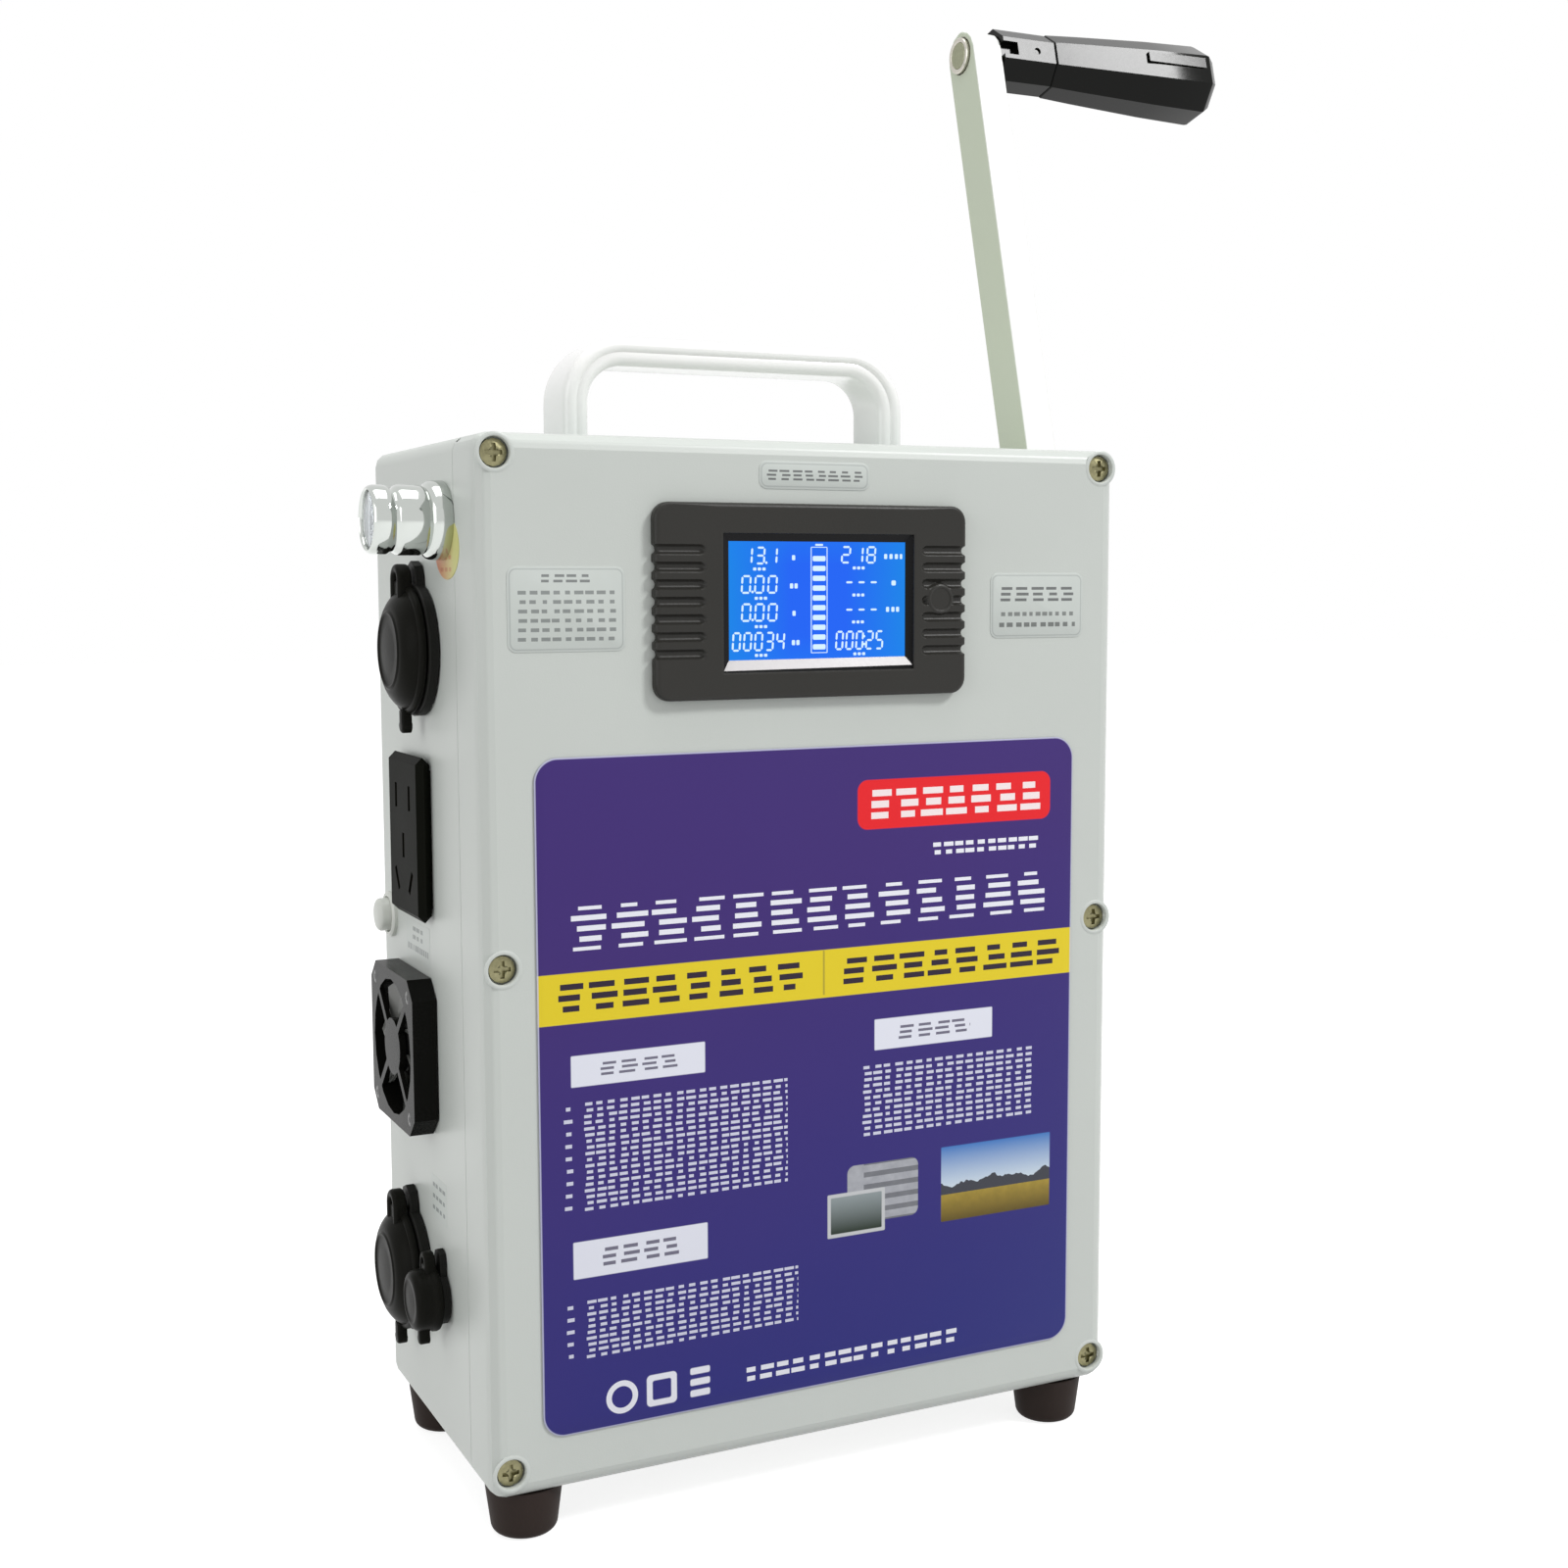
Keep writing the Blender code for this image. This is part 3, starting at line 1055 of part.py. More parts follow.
def make_output_button(body):
    """Domed push button in a round bezel."""
    frame = left_fitting("output_button_frame", BUTTON_DEPTH, BUTTON_HEIGHT)
    bore = BUTTON_RADIUS + GAP
    floor = -BUTTON_TAIL - BUTTON_TRAVEL - GAP
    profile = [(0, floor), (bore, floor), (bore, BUTTON_BEZEL_HEIGHT),
               (BUTTON_BEZEL_RADIUS - GAP, BUTTON_BEZEL_HEIGHT),
               (BUTTON_BEZEL_RADIUS, BUTTON_BEZEL_HEIGHT - GAP), (BUTTON_BEZEL_RADIUS, GAP),
               (BUTTON_BODY_RADIUS, GAP), (BUTTON_BODY_RADIUS, -BUTTON_BODY_LENGTH),
               (0, -BUTTON_BODY_LENGTH)]
    turned("output_button_bezel", profile, "white_plastic", holder=frame)
    shoulder = BUTTON_PROUD - BUTTON_DOME
    dome = [(0, BUTTON_PROUD), (BUTTON_RADIUS / 2, BUTTON_PROUD - BUTTON_DOME / 4),
            (BUTTON_RADIUS, shoulder), (BUTTON_RADIUS, -BUTTON_TAIL), (0, -BUTTON_TAIL)]
    turned("output_button", dome, "white_plastic", holder=frame)
    wall_hole(body, frame, BUTTON_BODY_RADIUS + GAP)


def make_fan(body):
    """Flat fan outside the wall: a chamfered frame with struts and a pin, and its rotor."""
    frame = left_fitting("fan_place", FAN_DEPTH, FAN_HEIGHT)
    half, inner = FAN_SIDE / 2, FAN_SIDE / 2 - FAN_CORNER
    outline = [(half, -inner), (half, inner), (inner, half), (-inner, half), (-half, inner),
               (-half, -inner), (-inner, -half), (inner, -half)]
    mesh = plate_mesh([outline, circle((0, 0), FAN_BORE_RADIUS)], GAP, FAN_THICKNESS)
    fan = piece("fan_frame", mesh, "black_plastic", holder=frame)
    strut_low = FAN_THICKNESS - FAN_STRUT_THICKNESS
    reach, half_strut = FAN_BORE_RADIUS + BOND, FAN_STRUT_WIDTH / 2
    for angle in FAN_STRUT_ANGLES:
        strut = box_mesh((-reach, -half_strut, strut_low), (reach, half_strut, FAN_THICKNESS))
        join(fan, tool(strut, ZERO, (0, 0, math.radians(angle)), frame))
    join(fan, tool(rod_mesh((0, 0, strut_low - BOND), (0, 0, FAN_THICKNESS), FAN_HUB_RADIUS), holder=frame))
    join(fan, tool(rod_mesh((0, 0, GAP), (0, 0, FAN_THICKNESS - BOND), FAN_PIN_RADIUS, sides=SMALL_STEPS),
                   holder=frame))
    hub_low, hub_high = 2 * GAP, strut_low - BOND - GAP
    rotor = piece("fan_rotor", rod_mesh((0, 0, hub_low), (0, 0, hub_high), FAN_HUB_RADIUS),
                  "black_plastic", holder=frame)
    middle = (hub_low + hub_high) / 2
    tip = FAN_BORE_RADIUS - BLADE_TIP_GAP
    for n in range(BLADE_COUNT):
        blade = box_mesh((FAN_HUB_RADIUS - BLADE_ROOT, -BLADE_CHORD / 2, -BLADE_THICKNESS / 2),
                         (tip, BLADE_CHORD / 2, BLADE_THICKNESS / 2))
        blade.transform(Matrix.Rotation(math.radians(BLADE_PITCH), 4, "X"))
        join(rotor, tool(blade, (0, 0, middle), (0, 0, math.tau * n / BLADE_COUNT), frame))
    cut(rotor, tool(rod_mesh((0, 0, -OVERRUN), (0, 0, FAN_THICKNESS), FAN_PIN_RADIUS + GAP,
                             sides=SMALL_STEPS), holder=frame))
    wall_hole(body, frame, FAN_BORE_RADIUS)


def right_axle(name, height):
    """A frame on a gear axis: local Z points out through the right wall from mid case."""
    return empty(name, (0, SHAFT_DEPTH, height), RIGHTWARD, CASE_FRAME)


def gear_outline(teeth, half_pitch_phase):
    """Straight-flanked teeth, thinned by the backlash; the phase turns the gear half a tooth."""
    pitch_radius = GEAR_MODULE * teeth / 2
    tip = pitch_radius + ADDENDUM_SHARE * GEAR_MODULE
    root = pitch_radius - DEDENDUM_SHARE * GEAR_MODULE
    slope = math.tan(math.radians(FLANK_ANGLE))
    thickness = math.pi * GEAR_MODULE / 2 - BACKLASH
    root_half = (thickness / 2 + (pitch_radius - root) * slope) / root
    tip_half = (thickness / 2 - (tip - pitch_radius) * slope) / tip
    pitch = math.tau / teeth
    points = []
    for n in range(teeth):
        middle = pitch * (n + (0.5 if half_pitch_phase else 0))
        for radius, angle in ((root, -root_half), (tip, -tip_half), (tip, tip_half), (root, root_half)):
            points.append((radius * math.cos(middle + angle), radius * math.sin(middle + angle)))
    return points


def make_bush(body):
    """Flanged bush that carries the crank shaft in the wall and the outer gear plate."""
    axle = right_axle("bush_axle", SHAFT_HEIGHT)
    low, wall = OUTER_PLATE, RIGHT_FACE + GAP
    bore = SHAFT_RADIUS + GAP
    profile = [(bore, wall + BUSH_FLANGE_HEIGHT), (BUSH_FLANGE_RADIUS, wall + BUSH_FLANGE_HEIGHT),
               (BUSH_FLANGE_RADIUS, wall), (BUSH_RADIUS, wall), (BUSH_RADIUS, low), (bore, low)]
    turned("shaft_bush", profile, "brass", holder=axle, closed=True)
    cut(body, tool(rod_mesh((0, 0, RIGHT_INSIDE - OVERRUN), (0, 0, RIGHT_FACE + OVERRUN), BUSH_RADIUS + GAP),
                   holder=axle))


def frame_plate_mesh(low, high):
    """Upright plate over the whole gear train, drawn about the crank axis with local X pointing down."""
    top = -FRAME_RISE
    bottom = SHAFT_HEIGHT - ROTOR_HEIGHT + PINION_PITCH_RADIUS + PLATE_MARGIN + PLATE_MARGIN
    outline = rounded_rectangle(top, bottom, -PLATE_WIDTH / 2, PLATE_WIDTH / 2, PLATE_CORNER)
    return plate_mesh([outline], low, high), top + PLATE_MARGIN, bottom - PLATE_MARGIN / 2


def make_gear_frame():
    """Two steel plates, the outer one with four pillars, and the fixed pin of the cluster gear."""
    axle = right_axle("gear_frame_axle", SHAFT_HEIGHT)
    mesh, top, bottom = frame_plate_mesh(OUTER_PLATE, OUTER_PLATE + PLATE_THICKNESS)
    outer = piece("gear_frame_outer", mesh, "steel", holder=axle)
    pillar_low, pillar_high = INNER_PLATE + PLATE_THICKNESS + GAP, OUTER_PLATE + BOND
    for x in (top, bottom):
        for y in (-PILLAR_SPREAD, PILLAR_SPREAD):
            pillar = rod_mesh((x, y, pillar_low), (x, y, pillar_high), PILLAR_RADIUS, sides=SMALL_STEPS)
            join(outer, tool(pillar, holder=axle))
    mesh, top, bottom = frame_plate_mesh(INNER_PLATE, INNER_PLATE + PLATE_THICKNESS)
    inner = piece("gear_frame_inner", mesh, "steel", holder=axle)
    for down, outer_radius, inner_radius in ((0, BUSH_RADIUS, SHAFT_INNER_RADIUS),
                                             (CENTRE_DISTANCE, CLUSTER_PIN_RADIUS, CLUSTER_PIN_RADIUS),
                                             (2 * CENTRE_DISTANCE, ROTOR_SHAFT_RADIUS, ROTOR_SHAFT_RADIUS)):
        for plate, radius in ((outer, outer_radius), (inner, inner_radius)):
            hole = rod_mesh((down, 0, INNER_PLATE - OVERRUN), (down, 0, RIGHT_INSIDE), radius + GAP)
            cut(plate, tool(hole, holder=axle))
    pin_axle = right_axle("cluster_pin_axle", CLUSTER_HEIGHT)
    piece("cluster_pin", rod_mesh((0, 0, INNER_PLATE), (0, 0, OUTER_PLATE + PLATE_THICKNESS),
                                  CLUSTER_PIN_RADIUS, sides=SMALL_STEPS), "steel", holder=pin_axle)


def make_gears():
    """Crank gear, cluster gear and the pinion on the rotor shaft, meshed at rest."""
    drive_axle = right_axle("crank_gear_axle", SHAFT_HEIGHT)
    bore = circle((0, 0), SHAFT_INNER_RADIUS + GAP)
    piece("crank_gear", plate_mesh([gear_outline(WHEEL_TEETH, True), bore], DRIVE_PLANE,
                                   DRIVE_PLANE + FACE_WIDTH), "steel", holder=drive_axle)
    cluster_axle = right_axle("cluster_axle", CLUSTER_HEIGHT)
    low = ROTOR_PLANE
    cluster = piece("cluster_gear", plate_mesh([gear_outline(WHEEL_TEETH, True)], low, low + FACE_WIDTH),
                    "steel", holder=cluster_axle)
    join(cluster, tool(plate_mesh([gear_outline(PINION_TEETH, False)], low + FACE_WIDTH - BOND,
                                  DRIVE_PLANE + PINION_WIDTH), holder=cluster_axle))
    cut(cluster, tool(rod_mesh((0, 0, low - OVERRUN), (0, 0, RIGHT_INSIDE), CLUSTER_PIN_RADIUS + GAP,
                               sides=SMALL_STEPS), holder=cluster_axle))
    rotor_axle = right_axle("rotor_axle", ROTOR_HEIGHT)
    shaft_mesh = rod_mesh((0, 0, CAN_BACK - CAN_WALL), (0, 0, OUTER_PLATE + PLATE_THICKNESS),
                          ROTOR_SHAFT_RADIUS, sides=SMALL_STEPS)
    shaft = piece("rotor_pinion", shaft_mesh, "steel", holder=rotor_axle)
    join(shaft, tool(plate_mesh([gear_outline(PINION_TEETH, False)], low, low + FACE_WIDTH),
                     holder=rotor_axle))


def make_crank():
    """Shaft, arm, hub screw and the grip on its spindle, leaning back with the arm."""
    axle = right_axle("crank_shaft_axle", SHAFT_HEIGHT)
    inner_end = OUTER_PLATE - GAP
    end = ARM_FACE + ARM_THICKNESS - GAP
    hole, floor = HUB_SCREW_RADIUS + GAP, end - HUB_SCREW_LENGTH - GAP
    profile = [(0, floor), (hole, floor), (hole, end), (SHAFT_RADIUS, end), (SHAFT_RADIUS, inner_end),
               (SHAFT_INNER_RADIUS, inner_end), (SHAFT_INNER_RADIUS, INNER_PLATE), (0, INNER_PLATE)]
    turned("crank_shaft", profile, "steel", holder=axle)
    pivot = empty("crank_pivot", (ARM_FACE, SHAFT_DEPTH, SHAFT_HEIGHT), (-math.radians(ARM_LEAN), 0, 0),
                  CASE_FRAME)
    half, steps = ARM_WIDTH / 2, 2 * CORNER_STEPS
    outline = arc((0, ARM_LENGTH), half, 0, 180, steps) + arc((0, 0), half, 180, 360, steps)
    mesh = plate_mesh([outline], 0, ARM_THICKNESS)
    mesh.transform(Matrix(((0, 0, 1, 0), (1, 0, 0, 0), (0, 1, 0, 0), (0, 0, 0, 1))))
    arm = piece("crank_arm", mesh, "painted_steel", holder=pivot)
    round_edges(arm, ARM_EDGE)
    far_side = ARM_THICKNESS + OVERRUN
    for height, depth, radius in ((0, far_side, SHAFT_RADIUS), (ARM_LENGTH, far_side, SPINDLE_RADIUS),
                                  (ARM_LENGTH, GRIP_NUT_SINK, GRIP_NUT_RADIUS)):
        hole = rod_mesh((-OVERRUN, 0, height), (depth, 0, height), radius + GAP)
        cut(arm, tool(hole, holder=pivot))
    hub = turned("crank_hub_screw",
                 [(0, HUB_SCREW_HEAD_HEIGHT), (HUB_SCREW_HEAD_RADIUS / 2, HUB_SCREW_HEAD_HEIGHT),
                  (HUB_SCREW_HEAD_RADIUS, HUB_SCREW_HEAD_HEIGHT / 2), (HUB_SCREW_HEAD_RADIUS, 0),
                  (HUB_SCREW_RADIUS, 0), (HUB_SCREW_RADIUS, -HUB_SCREW_LENGTH), (0, -HUB_SCREW_LENGTH)],
                 "zinc", (ARM_THICKNESS + GAP, 0, 0), RIGHTWARD, pivot)
    cut_cross(hub, (ARM_THICKNESS + GAP, 0, 0), RIGHTWARD, pivot, HUB_SCREW_HEAD_HEIGHT)
    make_grip(pivot)


def make_grip(pivot):
    """Faceted grip that spins on a headed spindle, with a fixed collar against the arm."""
    holder = empty("grip_axis", (0, 0, ARM_LENGTH), RIGHTWARD, pivot)
    tip = GRIP_NUT_SINK - GAP - GRIP_NUT_THICKNESS
    head_seat = GRIP_END - SPINDLE_HEAD_HEIGHT - GAP
    head_top = head_seat + SPINDLE_HEAD_HEIGHT
    profile = [(0, head_top), (SPINDLE_HEAD_RADIUS, head_top), (SPINDLE_HEAD_RADIUS, head_seat),
               (SPINDLE_RADIUS, head_seat), (SPINDLE_RADIUS, tip), (0, tip)]
    spindle = turned("grip_spindle", profile, "zinc", holder=holder)
    socket_floor = head_top - SPINDLE_SOCKET_DEPTH
    cut(spindle, tool(rod_mesh((0, 0, socket_floor), (0, 0, GRIP_END + OVERRUN), SPINDLE_SOCKET_WIDTH / 2,
                               sides=6), holder=holder))
    nut_high = GRIP_NUT_SINK - GAP
    nut_bore = SPINDLE_RADIUS + GAP
    nut = [(GRIP_NUT_RADIUS, nut_high), (GRIP_NUT_RADIUS, tip + GRIP_NUT_RIM),
           (GRIP_NUT_RADIUS - GRIP_NUT_RIM, tip), (nut_bore, tip), (nut_bore, nut_high)]
    turned("grip_nut", nut, "zinc", holder=holder, closed=True)
    facet_roll = math.pi / GRIP_SIDES
    low, high = ARM_THICKNESS + GAP, COLLAR_END
    collar = piece("grip_collar", rod_mesh((0, 0, low), (0, 0, high), COLLAR_RADIUS, sides=GRIP_SIDES,
                                           roll=facet_roll), "black_plastic", holder=holder)
    face = COLLAR_RADIUS * math.cos(facet_roll)
    cut(collar, tool(rod_mesh((0, 0, low - OVERRUN), (0, 0, high + OVERRUN), SPINDLE_RADIUS + GAP,
                              sides=SMALL_STEPS), holder=holder))
    cut(collar, tool(box_mesh((-NOTCH_WIDTH / 2, -face - OVERRUN, low - OVERRUN),
                              (NOTCH_WIDTH / 2, -face + NOTCH_DEPTH, low + NOTCH_LENGTH)), holder=holder))
    pin_hole = rod_mesh((0, -face - OVERRUN, CROSS_PIN_PLACE), (0, -face + CROSS_PIN_DEPTH, CROSS_PIN_PLACE),
                        CROSS_PIN_RADIUS, sides=SMALL_STEPS)
    cut(collar, tool(pin_hole, holder=holder))
    grip = piece("grip", rod_mesh((0, 0, COLLAR_END + GAP), (0, 0, GRIP_SHOULDER), GRIP_ROOT_RADIUS,
                                  GRIP_TIP_RADIUS, GRIP_SIDES, facet_roll), "black_plastic", holder=holder)
    end = rod_mesh((0, 0, GRIP_SHOULDER - BOND), (0, 0, GRIP_END), GRIP_TIP_RADIUS, GRIP_END_RADIUS,
                   GRIP_SIDES, facet_roll)
    join(grip, tool(end, holder=holder))
    cut(grip, tool(rod_mesh((0, 0, COLLAR_END - OVERRUN), (0, 0, GRIP_END + OVERRUN), SPINDLE_RADIUS + GAP),
                   holder=holder))
    cut(grip, tool(rod_mesh((0, 0, head_seat - GAP), (0, 0, GRIP_END + OVERRUN), SPINDLE_HEAD_RADIUS + GAP),
                   holder=holder))


def make_generator():
    """Cup-shaped can with an end plate, a slotted stator ring and a magnet rotor."""
    axle = right_axle("generator_axle", ROTOR_HEIGHT)
    bore = ROTOR_SHAFT_RADIUS + GAP
    inside = CAN_RADIUS - CAN_WALL
    can = [(bore, CAN_FRONT), (CAN_RADIUS, CAN_FRONT), (CAN_RADIUS, CAN_BACK), (inside, CAN_BACK),
           (inside, CAN_FRONT - CAN_WALL), (bore, CAN_FRONT - CAN_WALL)]
    turned("generator_can", can, "zinc", holder=axle, closed=True)
    turned("generator_end_plate", ring_profile(CAN_RADIUS, bore, CAN_BACK - GAP - CAN_WALL, CAN_BACK - GAP),
           "zinc", holder=axle, closed=True)
    low = (CAN_FRONT + CAN_BACK - STATOR_LENGTH) / 2
    high = low + STATOR_LENGTH
    stator = turned("stator", ring_profile(inside - GAP, STATOR_BORE_RADIUS, low, high), "copper_wire",
                    holder=axle, closed=True)
    for n in range(STATOR_SLOTS):
        slot = box_mesh((STATOR_BORE_RADIUS - OVERRUN, -STATOR_SLOT_WIDTH / 2, low - OVERRUN),
                        (STATOR_BORE_RADIUS + STATOR_SLOT_DEPTH, STATOR_SLOT_WIDTH / 2, high + OVERRUN))
        cut(stator, tool(slot, ZERO, (0, 0, math.tau * n / STATOR_SLOTS), axle))
    rotor = ring_profile(STATOR_BORE_RADIUS - AIR_GAP, bore, low, high)
    turned("magnet_rotor", rotor, "magnet", holder=axle, closed=True)


def make_battery():
    """Wrapped battery pack on the case floor, against the rear wall."""
    mesh = box_mesh((BATTERY_LEFT, BATTERY_FRONT, BATTERY_BOTTOM),
                    (BATTERY_RIGHT, REAR_INSIDE - GAP, BATTERY_TOP))
    round_edges(piece("battery_pack", mesh, "battery_wrap"), BATTERY_EDGE)


def make_board(name, left, right, bottom, top, block_shares):
    """Circuit board on the rear wall's posts, with its tall components."""
    board = piece(name, box_mesh((left, BOARD_FRONT, bottom), (right, BOARD_FACE, top)), "board")
    for across, up, wide, tall in block_shares:
        x, z = left + across * (right - left), bottom + up * (top - bottom)
        half_x, half_z = wide * (right - left) / 2, tall * (top - bottom) / 2
        join(board, tool(box_mesh((x - half_x, BOARD_FRONT - CHIP_HEIGHT, z - half_z),
                                  (x + half_x, BOARD_FRONT + BOND, z + half_z))))
    return board


def make_heatsink():
    """Finned heatsink on the inverter board, fins upright."""
    x = BOARD_LEFT + INVERTER_WIDTH / 2
    z = (INVERTER_BOTTOM + INVERTER_TOP) / 2
    left, right = x - SINK_WIDTH / 2, x + SINK_WIDTH / 2
    back = -BOARD_FRONT + GAP
    front = back + SINK_DEPTH
    outline = [(left, back), (right, back)]
    pitch = (SINK_WIDTH - FIN_THICKNESS) / (FIN_COUNT - 1)
    for n in reversed(range(FIN_COUNT)):
        fin = left + n * pitch
        outline += [(fin + FIN_THICKNESS, front), (fin, front)]
        if n:
            outline += [(fin, back + SINK_BASE), (fin - pitch + FIN_THICKNESS, back + SINK_BASE)]
    outline = [(a, -b) for a, b in outline]
    piece("heatsink", plate_mesh([outline], z - SINK_TALL / 2, z + SINK_TALL / 2), "aluminium")


def main():
    """Build every sub-part."""
    body = make_case_body()
    make_front_cover()
    piece("cover_seal", seal_mesh(0, 0), "black_rubber")
    make_cover_screws()
    make_feet()
    make_handle(body)
    make_meter()
    make_front_label()
    make_lamp(body)
    make_dc_socket(body)
    make_outlet(body)
    make_output_button(body)
    make_fan(body)
    make_usb_socket(body)
    make_charge_jack(body)
    make_bush(body)
    make_gear_frame()
    make_gears()
    make_crank()
    make_generator()
    make_battery()
    make_board("inverter_board", BOARD_LEFT, BOARD_LEFT + INVERTER_WIDTH, INVERTER_BOTTOM, INVERTER_TOP,
               INVERTER_BLOCK_SHARES)
    make_board("controller_board", BOARD_LEFT, BOARD_LEFT + CONTROLLER_WIDTH, CONTROLLER_BOTTOM,
               CONTROLLER_TOP, CONTROLLER_BLOCK_SHARES)
    make_heatsink()


main()
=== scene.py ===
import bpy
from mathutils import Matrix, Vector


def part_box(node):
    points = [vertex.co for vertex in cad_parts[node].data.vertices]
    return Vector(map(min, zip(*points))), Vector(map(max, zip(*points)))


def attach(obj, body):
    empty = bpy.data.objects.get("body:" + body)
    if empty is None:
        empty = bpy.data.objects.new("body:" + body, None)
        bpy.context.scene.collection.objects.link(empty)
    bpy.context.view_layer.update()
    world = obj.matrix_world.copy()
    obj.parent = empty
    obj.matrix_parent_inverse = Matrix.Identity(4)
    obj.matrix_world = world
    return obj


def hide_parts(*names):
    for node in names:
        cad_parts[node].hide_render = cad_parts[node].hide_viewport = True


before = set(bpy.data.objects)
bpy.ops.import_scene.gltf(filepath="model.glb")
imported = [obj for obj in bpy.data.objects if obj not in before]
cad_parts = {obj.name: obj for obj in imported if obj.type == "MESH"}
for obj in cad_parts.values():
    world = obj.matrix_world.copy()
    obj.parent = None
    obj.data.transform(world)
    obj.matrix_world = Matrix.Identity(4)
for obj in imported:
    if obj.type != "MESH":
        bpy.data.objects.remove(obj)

"""Looks of the hand crank generator: finishes for every piece, finer meshes where the CAD solids are
plain, the printed label, the lit meter and the studio.

Sizes are in millimetres in the case's own frame: X runs across the front with 0 at mid case, Y runs back
from the front face and Z runs up from the underside. Colours are written as screen values, 0 to 255.
"""
import math

import bmesh
import bpy
import numpy as np
from mathutils import Matrix

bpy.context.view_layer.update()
MM = 0.001

# The case frame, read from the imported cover
COVER_LOW, COVER_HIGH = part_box("front_cover")
ORIGIN = np.array(((COVER_LOW.x + COVER_HIGH.x) / 2, COVER_LOW.y, COVER_LOW.z))


def limits(node):
    """Lowest and highest corner of a CAD node in case millimetres."""
    low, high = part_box(node)
    return (np.array(low) - ORIGIN) / MM, (np.array(high) - ORIGIN) / MM


def middle(node):
    """Centre of a CAD node's box in case millimetres."""
    low, high = limits(node)
    return (low + high) / 2


# The left wall's outer face, and the boxes of two pieces on the front
LEFT = -limits("front_cover")[1][0]
METER_LOW, METER_HIGH = limits("meter_bezel")
LABEL_LOW, LABEL_HIGH = limits("front_label")

# Camera solved from the photograph, in the case frame
CAMERA_PLACE = (-235.0, -461.0, 229.0)
CAMERA_YAW = 25.96
CAMERA_PITCH = -5.72
CAMERA_ROLL = -0.155
CAMERA_FOCAL_PIXELS = 2029.4
FRAME_PIXELS = 1600
SENSOR_WIDTH = 36.0

# Walls as frames: across, up and outward
FRONT_WALL = np.array(((1, 0, 0), (0, 0, 1), (0, -1, 0)), float)
LEFT_WALL = np.array(((0, 1, 0), (0, 0, 1), (-1, 0, 0)), float)
FLOOR_WALL = np.array(((1, 0, 0), (0, 1, 0), (0, 0, -1)), float)

# Printed notes: left, right, lower and upper edge on the front
NOTES = {"top_strip": (-17.4, 14.4, 253.3, 260.4), "left_note": (-84.6, -54.2, 212.8, 233.6),
         "right_note": (51.6, 81.4, 214.4, 232.0)}
# Print on the left wall: front, rear, lower and upper edge
WALL_PRINTS = {"outlet_print": (47.0, 70.0, 128.0, 138.6), "socket_print": (36.0, 50.0, 60.5, 72.0)}


class Wire:
    """A shader socket that can be used in Python sums: each operator adds its Math node."""

    def __init__(self, finish, socket):
        self.finish = finish
        self.socket = socket

    def work(self, operation, *others):
        """The result of a Math node on this socket and the others."""
        return self.finish.node("ShaderNodeMath", {"operation": operation},
                                dict(enumerate((self,) + others)))

    def __add__(self, other):
        return self.work("ADD", other)

    __radd__ = __add__

    def __sub__(self, other):
        return self.work("SUBTRACT", other)

    def __rsub__(self, other):
        return self.finish.node("ShaderNodeMath", {"operation": "SUBTRACT"}, {0: other, 1: self})

    def __mul__(self, other):
        return self.work("MULTIPLY", other)

    __rmul__ = __mul__

    def __truediv__(self, other):
        return self.work("DIVIDE", other)

    def __rtruediv__(self, other):
        return self.finish.node("ShaderNodeMath", {"operation": "DIVIDE"}, {0: other, 1: self})

    def __gt__(self, other):
        return self.work("GREATER_THAN", other)

    def __lt__(self, other):
        return self.work("LESS_THAN", other)

    def size(self):
        """Absolute value."""
        return self.work("ABSOLUTE")

    def clip(self):
        """Held between 0 and 1."""
        return self.finish.node("ShaderNodeClamp", {}, {0: self})


def screen(colour):
    """A screen colour, 0 to 255, as the linear colour that the renderer works in."""
    share = np.array(colour, float) / 255
    linear = np.where(share <= 0.04045, share / 12.92, ((share + 0.055) / 1.055) ** 2.4)
    return tuple(float(v) for v in linear) + (1.0,)


class Nodes:
    """A node tree, and the one way that nodes are put into it."""

    def __init__(self, tree):
        self.tree = tree

    def join(self, socket, value):
        """A link from a wire, or a plain value."""
        if isinstance(value, Wire):
            self.tree.links.new(value.socket, socket)
        else:
            socket.default_value = value

    def node(self, kind, settings, inputs, output=0):
        """Any node: its type, settings that are set first, and the values or links of its sockets."""
        made = self.tree.nodes.new(kind)
        for key, value in settings.items():
            setattr(made, key, value)
        for key, value in inputs.items():
            self.join(made.inputs[key], value)
        return Wire(self, made.outputs[output])


